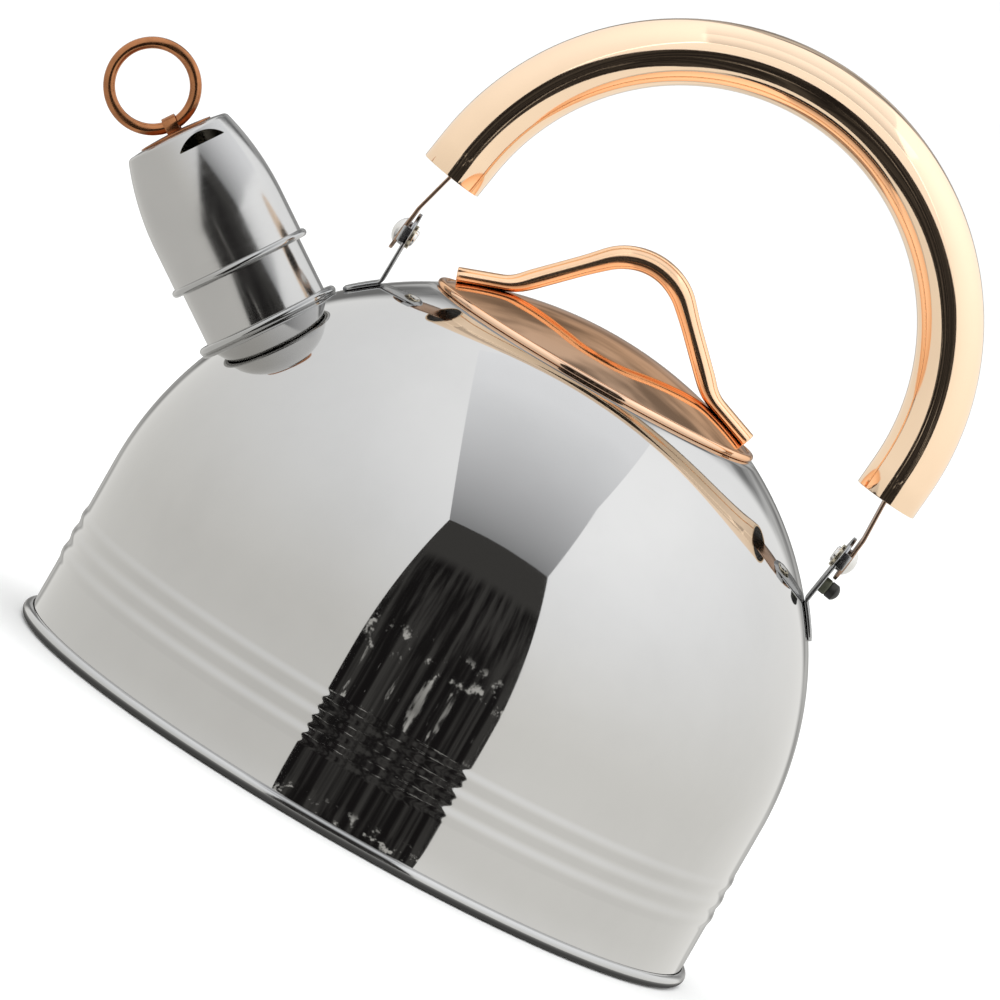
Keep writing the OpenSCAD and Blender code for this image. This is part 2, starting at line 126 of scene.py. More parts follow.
def arc(centre: Point, radius: float, start: float, stop: float, steps: int) -> Outline:
    """Draws an arc.

    Args:
        centre: The arc's middle, as (across, up).
        radius: Its radius.
        start: First angle in degrees, from across towards up.
        stop: Last angle in degrees.
        steps: How many steps lie between the two.

    Returns:
        The arc's points, both ends included.
    """
    angles = [math.radians(start + (stop - start) * i / steps) for i in range(steps + 1)]
    return [(centre[0] + radius * math.cos(a), centre[1] + radius * math.sin(a)) for a in angles]


def rounded(points: Outline, radius: float, steps: int = 3, closed: bool = False) -> Outline:
    """Rounds the corners of an outline.

    Args:
        points: The corners; a closed outline doesn't repeat its first.
        radius: Radius of each corner, made smaller where two corners are close.
        steps: Steps round one corner.
        closed: Whether the last point joins the first.

    Returns:
        The new outline, which ends on its first point if it is closed.
    """
    out: Outline = []
    count = len(points)
    for i, corner in enumerate(points):
        if not closed and i in (0, count - 1):
            out.append(corner)
            continue
        here, back, ahead = (Vector(points[k % count]) for k in (i, i - 1, i + 1))
        to_back, to_ahead = (back - here), (ahead - here)
        angle = to_back.angle(to_ahead)
        if angle > math.radians(STRAIGHT_ANGLE):
            out.append(corner)
            continue
        reach = min(radius / math.tan(angle / 2), 0.45 * to_back.length, 0.45 * to_ahead.length)
        bend_r = reach * math.tan(angle / 2)
        middle = here + (to_back.normalized() + to_ahead.normalized()).normalized() * bend_r / math.sin(angle / 2)
        first = here + to_back.normalized() * reach - middle
        last = here + to_ahead.normalized() * reach - middle
        turn = math.atan2(first.cross(last), first.dot(last))
        for k in range(steps + 1):
            spoke = Matrix.Rotation(turn * k / steps, 2) @ first
            out.append((middle.x + spoke.x, middle.y + spoke.y))
    return out + out[:1] if closed else out


def resampled(points: Outline, pitch: float) -> Outline:
    """Places points at equal steps along an open outline.

    Args:
        points: The outline.
        pitch: About how far apart the new points are.

    Returns:
        The new points, with both ends kept.
    """
    ends = [Vector(p) for p in points]
    lengths = [(b - a).length for a, b in zip(ends, ends[1:])]
    count = max(2, round(sum(lengths) / pitch))
    out, step = [], sum(lengths) / count
    for i in range(count + 1):
        left, k = step * i, 0
        while k < len(lengths) - 1 and left > lengths[k]:
            left -= lengths[k]
            k += 1
        spot = ends[k].lerp(ends[k + 1], min(1.0, left / lengths[k]))
        out.append((spot.x, spot.y))
    return out


def eased(value: float, start: float, stop: float) -> float:
    """Runs smoothly from 0 at start to 1 at stop."""
    t = min(1.0, max(0.0, (value - start) / (stop - start)))
    return t * t * (3 - 2 * t)


def frame_at(origin: Vector, across: Vector, up: Vector) -> Matrix:
    """Makes a place to model in.

    Args:
        origin: Where it is, in millimetres.
        across: Its first axis.
        up: Its third axis, square to the first.

    Returns:
        The frame as a matrix, with its origin in metres.
    """
    side = up.cross(across)
    place = Matrix((across, side, up)).transposed().to_4x4()
    place.translation = origin * MM
    return place


@dataclass(frozen=True)
class Station:
    """One cross-section of a bent bar or strip."""

    place: Point
    heading: float
    thick: float
    wide: float


def stations_along(
    path: Outline, thick: Callable[[float, Point], float], wide: Callable[[float, Point], float]
) -> list[Station]:
    """Sets out a bar's cross-sections along its middle line.

    Args:
        path: The middle line, in the frame's across and up directions.
        thick: Thickness from the distance along the path and the place.
        wide: Width, from the same.

    Returns:
        One station for each point of the path.
    """
    spots = [Vector(p) for p in path]
    made, run = [], 0.0
    for i, spot in enumerate(spots):
        run += (spot - spots[i - 1]).length if i else 0.0
        along = spots[min(i + 1, len(spots) - 1)] - spots[max(i - 1, 0)]
        heading = math.atan2(along.y, along.x)
        made.append(Station(path[i], heading, thick(run, path[i]), wide(run, path[i])))
    return made


# ---- the workbench ------------------------------------------------------------------------


class Bench:
    """The moves that every piece is made with."""

    @staticmethod
    def take(*pieces: bpy.types.Object) -> None:
        """Selects these objects alone and makes the first one active.

        Args:
            *pieces: The objects.
        """
        bpy.ops.object.select_all(action="DESELECT")
        for piece in pieces:
            piece.select_set(True)
        bpy.context.view_layer.objects.active = pieces[0]

    @staticmethod
    def place(piece: bpy.types.Object, frame_in: Matrix) -> None:
        """Moves a piece from its own frame into the kettle's, with its place in its mesh.

        Args:
            piece: The object, modelled at the origin.
            frame_in: The frame that it was modelled in.
        """
        Bench.take(piece)
        piece.matrix_world = frame_in
        bpy.ops.object.transform_apply(location=True, rotation=True, scale=True)

    @staticmethod
    def draw(name: str, line: list[Vector]) -> bpy.types.Object:
        """Draws a line of edges from one vertex, and stays in edit mode with all selected.

        Args:
            name: The new object's name.
            line: The line's points in millimetres.

        Returns:
            The new object.
        """
        bpy.ops.object.select_all(action="DESELECT")
        bpy.ops.mesh.primitive_plane_add(size=MM)
        piece = bpy.context.active_object
        piece.name = name
        bpy.ops.object.mode_set(mode="EDIT")
        bpy.ops.mesh.select_mode(type="VERT")
        bpy.ops.mesh.select_all(action="SELECT")
        bpy.ops.mesh.merge(type="CENTER")
        bpy.ops.transform.translate(value=line[0] * MM)
        for here, there in zip(line, line[1:]):
            bpy.ops.mesh.extrude_region_move(TRANSFORM_OT_translate={"value": (there - here) * MM})
        bpy.ops.mesh.select_all(action="SELECT")
        return piece

    @staticmethod
    def lathe(name: str, outline: Outline, place: Matrix, turns: int) -> bpy.types.Object:
        """Turns an outline once round its frame's third axis.

        Args:
            name: The new object's name.
            outline: Points as (radius, height).
            place: The frame that the piece is turned in.
            turns: Steps in a full turn.

        Returns:
            The piece, in place, with its faces outwards.
        """
        piece = Bench.draw(name, [Vector((r, 0.0, z)) for r, z in outline])
        bpy.ops.mesh.spin(steps=turns, angle=math.tau, center=(0, 0, 0), axis=(0, 0, 1))
        Bench.close_up()
        Bench.place(piece, place)
        return piece

    @staticmethod
    def close_up() -> None:
        """Merges doubles, turns the faces outwards and leaves edit mode."""
        bpy.ops.mesh.select_all(action="SELECT")
        bpy.ops.mesh.remove_doubles(threshold=MM / 500)
        bpy.ops.mesh.normals_make_consistent(inside=False)
        bpy.ops.object.mode_set(mode="OBJECT")

    @staticmethod
    def turn(angle: float, about: Vector) -> None:
        """Turns the selection about the frame's second axis; with no window the operator turns the other way."""
        bpy.ops.transform.rotate(value=-angle, orient_axis="Y", center_override=about)

    @staticmethod
    def sweep(
        name: str, stations: list[Station], place: Matrix, sides: int = 4, hollow: bool = False
    ) -> bpy.types.Object:
        """Makes a bent bar by extruding its cross-section from station to station.

        Args:
            name: The new object's name.
            stations: The cross-sections, in order.
            place: The frame that the bar is bent in.
            sides: Sides of the cross-section; 4 gives a flat strip.
            hollow: Whether the ends stay open.

        Returns:
            The piece, in place, with its faces outwards.
        """
        reach = 0.5 / math.cos(math.pi / 4) if sides == 4 else 0.5
        bpy.ops.object.select_all(action="DESELECT")
        bpy.ops.mesh.primitive_circle_add(
            vertices=sides,
            radius=reach * MM,
            fill_type="NOTHING" if hollow else "NGON",
            rotation=(0, 0, math.pi / 4 if sides == 4 else 0),
        )
        piece = bpy.context.active_object
        piece.name = name
        bpy.ops.object.transform_apply(location=False, rotation=True, scale=False)
        bpy.ops.object.mode_set(mode="EDIT")
        bpy.ops.mesh.select_all(action="SELECT")
        was = Station((0.0, 0.0), math.pi / 2, 1.0, 1.0)
        for i, now in enumerate(stations):
            if i:
                bpy.ops.mesh.extrude_region_move(TRANSFORM_OT_translate={"value": (0, 0, 0)})
            old, new = (Vector((s.place[0], 0.0, s.place[1])) * MM for s in (was, now))
            if math.isclose(now.thick, was.thick) and math.isclose(now.wide, was.wide):
                Bench.turn(was.heading - now.heading, old)
            else:
                Bench.turn(was.heading - math.pi / 2, old)
                stretch = (now.thick / was.thick, now.wide / was.wide, 1)
                bpy.ops.transform.resize(value=stretch, center_override=old)
                Bench.turn(math.pi / 2 - now.heading, old)
            bpy.ops.transform.translate(value=new - old)
            was = now
        Bench.close_up()
        Bench.place(piece, place)
        return piece

    @staticmethod
    def modify(piece: bpy.types.Object, kind: str, **settings: object) -> None:
        """Adds a modifier, sets it and applies it.

        Args:
            piece: The object.
            kind: The modifier's type.
            **settings: Its settings by name.
        """
        Bench.take(piece)
        step = piece.modifiers.new(kind.title(), kind)
        for key, value in settings.items():
            setattr(step, key, value)
        bpy.ops.object.modifier_apply(modifier=step.name)

    @staticmethod
    def thicken(piece: bpy.types.Object, sheet: float) -> None:
        """Gives a skin the thickness of its sheet, inwards."""
        Bench.modify(piece, "SOLIDIFY", thickness=sheet * MM, offset=-1.0, use_even_offset=True)

    @staticmethod
    def soften(piece: bpy.types.Object, width: float, angle: float) -> None:
        """Rounds the edges that turn by more than an angle in degrees.

        Args:
            piece: The object.
            width: The width of the bevel.
            angle: The least turn that is rounded.
        """
        Bench.modify(
            piece, "BEVEL", width=width * MM, segments=2, limit_method="ANGLE", angle_limit=math.radians(angle)
        )

    @staticmethod
    def cut(piece: bpy.types.Object, tool: bpy.types.Object) -> None:
        """Cuts a tool's shape out of a piece and throws the tool away."""
        Bench.modify(piece, "BOOLEAN", operation="DIFFERENCE", solver="EXACT", object=tool)
        bpy.data.objects.remove(tool)

    @staticmethod
    def smooth(piece: bpy.types.Object) -> None:
        """Shades a piece smooth, with its real edges kept sharp."""
        Bench.take(piece)
        bpy.ops.object.shade_smooth_by_angle(angle=math.radians(SHARP_ANGLE))


# ---- finishes -----------------------------------------------------------------------------


class Nodes:
    """The node tree of a material or a world, with short ways to add and join its nodes."""

    def __init__(self, owner: bpy.types.Material | bpy.types.World) -> None:
        """Starts on a tree.

        Args:
            owner: The material or world that the tree belongs to.
        """
        owner.use_nodes = True
        self.owner = owner
        self.tree = owner.node_tree
        self.shader = self.tree.nodes.get("Principled BSDF")

    def give(self, inlet: Socket, value: object) -> None:
        """Links a socket to an input, or sets the input to a constant.

        Args:
            inlet: The input.
            value: The socket or the constant.
        """
        if isinstance(value, Socket):
            self.tree.links.new(value, inlet)
        else:
            inlet.default_value = value

    def add(self, kind: str, inputs: Optional[dict] = None, **settings: object) -> bpy.types.Node:
        """Adds a node.

        Args:
            kind: The node's type, without its ShaderNode prefix.
            inputs: What each input gets, by its name or number: a socket or a constant.
            **settings: The node's own settings.

        Returns:
            The node.
        """
        node = self.tree.nodes.new(f"ShaderNode{kind}")
        for key, value in settings.items():
            setattr(node, key, value)
        for key, value in (inputs or {}).items():
            self.give(node.inputs[key], value)
        return node

    def feed(self, **inputs: object) -> None:
        """Gives the shader's inputs, named with underscores for spaces, a socket or a constant each."""
        for key, value in inputs.items():
            self.give(self.shader.inputs[key.replace("_", " ")], value)

    def coords(self, kind: str = "Object") -> Socket:
        """Adds coordinates of a kind."""
        return self.add("TexCoord").outputs[kind]

    def own_coords(self, place: Vector, turn: Triple = (0, 0, 0)) -> Socket:
        """Adds Object coordinates as they read in a frame at a place, turned by three angles."""
        inputs = {"Vector": self.coords(), "Location": place, "Rotation": turn}
        return self.add("Mapping", inputs, vector_type="TEXTURE").outputs[0]

    def parts(self, vector: Socket) -> list[Socket]:
        """Splits a vector into its three parts."""
        return list(self.add("SeparateXYZ", {0: vector}).outputs)

    def math(self, operation: str, *values: Socket | float, **settings: object) -> Socket:
        """Works a value out of others."""
        return self.add("Math", dict(enumerate(values)), operation=operation, **settings).outputs[0]

    def length(self, vector: Socket) -> Socket:
        """Measures a vector."""
        return self.add("VectorMath", {0: vector}, operation="LENGTH").outputs["Value"]

    def scaled(self, vector: Socket, factors: Triple | Socket) -> Socket:
        """Multiplies a vector or a colour, part by part."""
        return self.add("VectorMath", {0: vector, 1: factors}, operation="MULTIPLY").outputs[0]

    def noise(self, vector: Socket, size: float, detail: float = 2.0, rough: float = 0.5) -> Socket:
        """Adds noise whose blotches are about size millimetres across."""
        inputs = {"Vector": vector, "Scale": 1 / (size * MM), "Detail": detail, "Roughness": rough}
        return self.add("TexNoise", inputs).outputs["Fac"]

    def ranged(self, value: Socket, low: float, high: float, out_low: float, out_high: float) -> Socket:
        """Maps a value from one range onto another, clamped."""
        inputs = {0: value, 1: low, 2: high, 3: out_low, 4: out_high}
        return self.add("MapRange", inputs, interpolation_type="SMOOTHSTEP").outputs[0]

    def ramp(self, value: Socket, stops: tuple[Point, ...]) -> Socket:
        """Adds a grey ramp with these (place, tone) stops.

        Args:
            value: What runs along the ramp.
            stops: The stops, from the lowest place up.

        Returns:
            The tone.
        """
        first, last = stops[0][0], stops[-1][0]
        share = self.add("MapRange", {0: value, 1: first, 2: last}).outputs[0]
        ramp = self.add("ValToRGB", {0: share})
        for _ in stops[1:-1]:
            ramp.color_ramp.elements.new(0.5)
        for element, (place, tone) in zip(ramp.color_ramp.elements, stops):
            element.position = (place - first) / (last - first)
            element.color = (tone, tone, tone, 1)
        return ramp.outputs[0]

    def blend(self, share: Socket, first: Triple | Socket, second: Triple | Socket) -> Socket:
        """Mixes two colours by a share."""
        pair = [side if isinstance(side, Socket) else (*side, 1) for side in (first, second)]
        return self.add("Mix", {0: share, 6: pair[0], 7: pair[1]}, data_type="RGBA").outputs[2]

    def bump(self, height: Socket, depth: float, under: Optional[Socket] = None) -> Socket:
        """Raises the surface by a height of depth millimetres, over another bump if there is one.

        Args:
            height: The height, from 0 to 1.
            depth: What a height of 1 stands for.
            under: The other bump's normal.

        Returns:
            The bumped normal.
        """
        inputs = {"Height": height, "Strength": 1.0, "Distance": depth * MM}
        if under is not None:
            inputs["Normal"] = under
        return self.add("Bump", inputs).outputs["Normal"]


@dataclass(frozen=True)
class Metal:
    """A bare or plated metal.

    Its roughness drifts with handling marks, its sheet is never quite flat, and its polishing lines follow the grain.
    """

    slot: Slot
    colour: Triple
    roughness: float
    grain: Grain = Grain.BUFFED
    grain_pitch: float = 0.35
    grain_depth: float = 0.0006
    smudge: float = 0.03
    smudge_size: float = 34.0
    wave_size: float = 45.0
    wave_depth: float = 0.02
    stain: float = 0.04
    edge: Triple = (1.0, 1.0, 1.0)

    def build(self, name: str, axis: Matrix) -> bpy.types.Material:
        """Makes the material for one piece.

        Args:
            name: The material's name.
            axis: The piece's own frame, whose third axis the grain follows.

        Returns:
            The material.
        """
        n = Nodes(bpy.data.materials.new(name))
        own = n.own_coords(axis.translation, tuple(axis.to_euler()))
        marks = n.noise(own, self.smudge_size, 4.0, 0.6)
        lines = n.noise(self.grain_vector(n, own), self.grain_pitch, 3.0, 0.6)
        rough = n.ranged(marks, 0.35, 0.68, self.roughness - self.smudge * 0.5, self.roughness + self.smudge)
        streak = n.ranged(lines, 0.3, 0.75, -self.smudge * 0.35, self.smudge * 0.5)
        wave = n.bump(n.noise(own, self.wave_size, 0.0), self.wave_depth)
        dull = tuple(c * (1 - self.stain) for c in self.colour)
        n.feed(
            Base_Color=n.blend(n.ranged(marks, 0.3, 0.75, 0.0, 1.0), self.colour, dull),
            Roughness=n.math("ADD", rough, streak, use_clamp=True),
            Normal=n.bump(lines, self.grain_depth, wave),
            Metallic=1.0,
            Specular_Tint=(*self.edge, 1),
        )
        return n.owner

    def grain_vector(self, n: Nodes, own: Socket) -> Socket:
        """Stretches the piece's coordinates so that noise on them runs along the grain.

        Args:
            n: The material's nodes.
            own: The piece's own coordinates.

        Returns:
            The stretched coordinates.
        """
        if self.grain is Grain.BUFFED:
            return own
        if self.grain is Grain.DRAWN:
            return n.scaled(own, (1, 1, ALONG_GRAIN))
        across, deep, up = n.parts(own)
        radius = n.length(n.add("CombineXYZ", {0: across, 1: deep}).outputs[0])
        slow = n.math("MULTIPLY", deep, ROUND_GRAIN)
        return n.add("CombineXYZ", {0: radius, 1: slow, 2: up}).outputs[0]


@dataclass(frozen=True)
class Moulded:
    """A moulded rubber or plastic, with a fine pitted skin and a little dust in it."""

    slot: Slot
    colour: Triple
    dust: Triple
    roughness: float
    pit_size: float = 0.35
    pit_depth: float = 0.012
    patch_size: float = 3.15

    def build(self, name: str, axis: Matrix) -> bpy.types.Material:
        """Makes the material for one piece.

        Args:
            name: The material's name.
            axis: The piece's own frame; a moulded skin has no direction, so only its place counts.

        Returns:
            The material.
        """
        n = Nodes(bpy.data.materials.new(name))
        own = n.own_coords(axis.translation)
        pits = n.noise(own, self.pit_size)
        patches = n.noise(own, self.patch_size, 3.0)
        n.feed(
            Base_Color=n.blend(n.ranged(patches, 0.5, 0.8, 0.0, 0.6), self.colour, self.dust),
            Roughness=n.ranged(patches, 0.3, 0.7, self.roughness - 0.08, self.roughness + 0.1),
            Normal=n.bump(pits, self.pit_depth),
        )
        return n.owner


Finish = Metal | Moulded

BODY_STEEL = Metal(
    Slot.BODY, (0.57, 0.565, 0.555), 0.028, Grain.TURNED, grain_pitch=0.8, smudge=0.014, wave_depth=0.035
)
HEM_STEEL = Metal(Slot.BASE, (0.53, 0.53, 0.525), 0.12, Grain.TURNED, grain_pitch=0.4)
DISC_STEEL = Metal(Slot.BASE, (0.60, 0.595, 0.59), 0.26, Grain.TURNED, grain_pitch=0.5, grain_depth=0.002)
ROLL_STEEL = Metal(Slot.BASE, (0.46, 0.46, 0.455), 0.1, Grain.TURNED, grain_pitch=0.4)
TUBE_STEEL = Metal(Slot.BODY, (0.50, 0.495, 0.485), 0.13, Grain.TURNED, smudge=0.04)
CAP_STEEL = Metal(
    Slot.CAP, (0.52, 0.515, 0.505), 0.15, Grain.TURNED, grain_pitch=0.3, grain_depth=0.0016, smudge=0.05
)
STRIP_STEEL = Metal(Slot.STRIP, (0.48, 0.485, 0.49), 0.18, Grain.DRAWN, grain_pitch=0.3, smudge_size=9.0, stain=0.1)
RIVET_STEEL = Metal(Slot.RIVET, (0.78, 0.77, 0.75), 0.16, smudge_size=5.0, wave_size=6.0, wave_depth=0.01)
WASHER_BRASS = Metal(Slot.WASHER, (0.74, 0.67, 0.52), 0.24, Grain.TURNED, smudge_size=4.0, wave_depth=0.0)
GRIP_COPPER = Metal(Slot.COPPER, (1.0, 0.76, 0.545), 0.06, smudge=0.025, stain=0.03)
BAR_COPPER = Metal(
    Slot.COPPER,
    (0.97, 0.65, 0.42),
    0.13,
    smudge=0.04,
    stain=0.08,
    wave_size=9.0,
    wave_depth=0.01,
    edge=(0.98, 0.78, 0.6),
)
LID_COPPER = Metal(
    Slot.COPPER,
    (0.97, 0.66, 0.46),
    0.05,
    Grain.TURNED,
    grain_pitch=0.7,
    stain=0.06,
    wave_depth=0.015,
    edge=(0.9, 0.68, 0.52),
)
STRAP_COPPER = Metal(
    Slot.STRAP, (0.52, 0.35, 0.25), 0.24, Grain.DRAWN, smudge_size=11.0, stain=0.25, wave_depth=0.01
)
RING_COPPER = Metal(
    Slot.RING, (0.48, 0.205, 0.09), 0.2, smudge_size=6.0, smudge=0.08, stain=0.3, wave_size=4.0, wave_depth=0.03
)
SPREADER = Metal(Slot.SPREADER, (0.66, 0.67, 0.68), 0.38, Grain.TURNED)
RUBBER = Moulded(Slot.BUFFER, (0.012, 0.012, 0.011), (0.05, 0.05, 0.04), 0.42)
SOCKET = Moulded(Slot.BUFFER, (0.055, 0.06, 0.035), (0.12, 0.12, 0.08), 0.5)
PLASTIC = Moulded(Slot.PLUG, (0.014, 0.013, 0.012), (0.05, 0.045, 0.04), 0.45)


# ---- the kettle's form --------------------------------------------------------------------


@dataclass(frozen=True)
class Form:
    """The shape that the sub-assemblies share, and the frames that they are modelled in."""

    wall_r: float = 104.8
    wall_h: float = 50.0
    dome_r: float = 99.0
    sheet: float = 0.6
    spout_r: float = 18.2
    lid_rim_r: float = 50.7

    @property
    def dome_off(self) -> float:
        """How far the dome arc's middle stands off the kettle's axis."""
        return self.wall_r - self.dome_r

    @property
    def seat_z(self) -> float:
        """Height of the flat land that the lid sits on."""
        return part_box("body_shell")[1].z / MM

    @property
    def upright(self) -> Matrix:
        """The kettle's own frame."""
        return Matrix.Identity(4)

    @staticmethod
    def joint(name: str) -> dict:
        """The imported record's joint of that name."""
        return next(j for j in frame["joints"] if j["name"] == name)

    @property
    def spout(self) -> Matrix:
        """The spout's frame, from the middle of the dome's arc, its third axis out along the spout."""
        out = Vector(self.joint("cap_pull")["axis"])
        return frame_at(Vector((-self.dome_off, 0, self.wall_h)), Vector((out.z, 0, -out.x)), out)

    @property
    def handle(self) -> Matrix:
        """The handle's frame: midway between the pivots, its first axis towards the right-hand one.

        Returns:
            The frame, as a matrix.
        """
        fold = self.joint("handle_fold")
        across = -Vector(fold["axis"])
        return frame_at(Vector(fold["pos_m"]) / MM, across, Vector((-across.z, 0, across.x)))


@dataclass
class SubAssembly:
    """What the sub-assemblies have in common: the form they are built on, and how a piece is handed over."""

    form: Form
    made: int = 0

    def hand_over(self, piece: bpy.types.Object, body: Body, finish: Finish, axis: Matrix, *nodes: str) -> None:
        """Finishes a piece: smooth shading, its material and its body; hides the CAD nodes it stands for and logs its
        slot.

        Args:
            piece: The piece, in place.
            body: The CAD body that it rides on.
            finish: Its finish.
            axis: The frame whose third axis its grain follows.
            *nodes: The CAD nodes that it stands for.
        """
        Bench.smooth(piece)
        piece.data.materials.clear()
        piece.data.materials.append(finish.build(f"{piece.name}_finish", axis))
        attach(piece, body.value)
        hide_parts(*nodes)
        self.made += 1
        LOG.info("%s: %d faces, rides on %s, %s", piece.name, len(piece.data.polygons), body.value, finish.slot.value)

    def dress_node(self, node: str, finish: Finish, axis: Matrix) -> None:
        """Gives a CAD node that stays its material.

        Args:
            node: The node's name.
            finish: Its finish.
            axis: The frame whose third axis its grain follows.
        """
        piece = frame["nodes"][node]
        piece.data.materials.clear()
        piece.data.materials.append(finish.build(f"{node}_finish", axis))
        LOG.info("%s: CAD node kept, %s", node, finish.slot.value)


# ---- body and base ------------------------------------------------------------------------


@dataclass
class DrawnBody(SubAssembly):
    """The drawn steel body: an upright wall with beads pressed into it, and a dome that ends in the mouth's neck."""

    foot_z: float = 2.5
    foot_r: float = 106.0
    bead_z: float = 21.2
    bead_pitch: float = 5.7
    bead_h: float = 0.45
    bead_count: int = 3
    land_r: float = 51.4
    mouth_r: float = 46.0
    neck_h: float = 6.8
    foot_h: float = 8.0
    foot_bend_r: float = 0.7
    plain_z: float = 42.0
    mouth_bend_r: float = 1.1
    bore_play: float = 0.3
    turns: int = 240

    def beads(self) -> Outline:
        """The beads' outline, a run of smooth ripples that starts and ends in the plain wall.

        Returns:
            Points as (radius, height), from the bottom up.
        """
        bottom = self.bead_z - self.bead_pitch / 2
        steps = 12
        out = []
        for i in range(self.bead_count * steps + 1):
            lift = 0.5 - 0.5 * math.cos(math.tau * i / steps)
            out.append((self.form.wall_r + self.bead_h * lift, bottom + self.bead_pitch * i / steps))
        return out

    def outline(self) -> Outline:
        """The outside of the body from its folded foot, over the dome, to the lower end of the neck.

        Returns:
            Points as (radius, height).
        """
        form = self.form
        foot = [(self.foot_r, self.foot_z), (form.wall_r, self.foot_z), (form.wall_r, self.foot_z + self.foot_h)]
        top_a = math.degrees(math.acos((self.land_r - form.dome_off) / form.dome_r))
        dome = arc((form.dome_off, form.wall_h), form.dome_r, 0, top_a, 48)
        neck = [dome[-1], (self.mouth_r, form.seat_z), (self.mouth_r, form.seat_z - self.neck_h)]
        wall = rounded(foot, self.foot_bend_r) + self.beads() + [(form.wall_r, self.plain_z)]
        return wall + dome[:-1] + rounded(neck, self.mouth_bend_r, 5)

    def build(self) -> None:
        """Makes the shell and bores it for the spout."""
        shell = Bench.lathe("drawn_body", self.outline(), self.form.upright, self.turns)
        Bench.thicken(shell, self.form.sheet)
        bore_r, near, far = self.form.spout_r - self.bore_play, self.form.dome_r * 0.7, self.form.dome_r * 1.2
        bore = [(0, near), (bore_r, near), (bore_r, far), (0, far)]
        Bench.cut(shell, Bench.lathe("spout_drill", bore, self.form.spout, 72))
        self.hand_over(shell, Body.KETTLE, BODY_STEEL, self.form.upright, "body_shell")


@dataclass
class Base(SubAssembly):
    """The pan that is hemmed over the wall's foot, and the heat-spreading disc in its steel cup."""

    hem_out: float = 2.2
    hem_lift: float = 0.3
    hem_h: float = 3.8
    slot: float = 0.42
    pan_z: float = 3.1
    slot_floor: float = 1.6
    cup_r: float = 92.5
    cup_t: float = 0.5
    cup_flat_r: float = 80.0
    cup_rings: Point = (34.0, 68.0)
    cup_ring_r: float = 1.6
    cup_ring_h: float = 0.16

    def build(self) -> None:
        """Makes the pan and the cup, and dresses the disc between them."""
        upright = self.form.upright
        self.hand_over(self.pan(), Body.KETTLE, HEM_STEEL, upright, "base_pan")
        self.hand_over(self.cup(), Body.KETTLE, DISC_STEEL, upright, "base_cover")
        self.dress_node("heat_spreader", SPREADER, upright)

    def pan(self) -> bpy.types.Object:
        """The pan with its rolled hem; a narrow dark slot stays between the hem's lip and the wall.

        Returns:
            The piece, in place.
        """
        wall, sheet = self.form.wall_r, self.form.sheet
        roll = self.hem_h / 2
        lip_r = wall + self.slot
        middle = (wall + self.hem_out - roll, self.hem_lift + roll)
        outside = arc(middle, roll, 90, -90, 14)
        floor = rounded([(wall - 2 * sheet, self.hem_lift), (wall - 2 * sheet, self.pan_z), (0, self.pan_z)], 0.5)
        slot_z = self.hem_lift + self.slot_floor
        inside = [(0, self.pan_z + sheet), (wall - sheet, self.pan_z + sheet), (wall - sheet, slot_z)]
        groove = [(lip_r, slot_z), (lip_r, self.hem_lift + self.hem_h)]
        return Bench.lathe("hemmed_pan", outside + floor + inside + groove, self.form.upright, 240)

    def cup(self) -> bpy.types.Object:
        """The steel cup under the disc, with two shallow rings pressed up into its floor.

        Returns:
            The piece, in place.
        """
        out: Outline = [(0.0, 0.0)]
        for middle in self.cup_rings:
            bow = arc((0, 0), 1.0, 180, 0, 4)
            out += [(middle + self.cup_ring_r * across, self.cup_ring_h * up) for across, up in bow]
        out += rounded([(self.cup_flat_r, 0.0), (self.cup_r, 0.0), (self.cup_r, self.pan_z)], 1.0, 4)
        cup = Bench.lathe("base_cup", out, self.form.upright, 192)
        Bench.thicken(cup, self.cup_t)
        return cup


# ---- spout and whistle cap ----------------------------------------------------------------


@dataclass
class Spout(SubAssembly):
    """The straight pouring tube and the ring rolled round its root."""

    wall: float = 0.6
    root_s: float = 94.5
    tip_s: float = 135.5
    ring_r: float = 19.8
    ring_s: float = 97.8
    ring_wire_r: float = 1.3
    lip_r: float = 0.28

    def build(self) -> None:
        """Makes the tube with a softly rounded mouth, and the ring."""
        place, outer = self.form.spout, self.form.spout_r
        inner = outer - self.wall
        wall = [(outer, self.root_s), (outer, self.tip_s), (inner, self.tip_s), (inner, self.root_s)]
        tube = rounded(wall, self.lip_r)
        pipe = Bench.lathe("spout_pipe", tube + tube[:1], place, 128)
        self.hand_over(pipe, Body.KETTLE, TUBE_STEEL, place, "spout_tube")
        ring = arc((self.ring_r, self.ring_s), self.ring_wire_r, -90, 150, 24)
        ring += [(outer, ring[-1][1]), (outer, ring[0][1]), ring[0]]
        bead = Bench.lathe("root_bead", ring, place, 128)
        self.hand_over(bead, Body.KETTLE, ROLL_STEEL, place, "spout_collar")


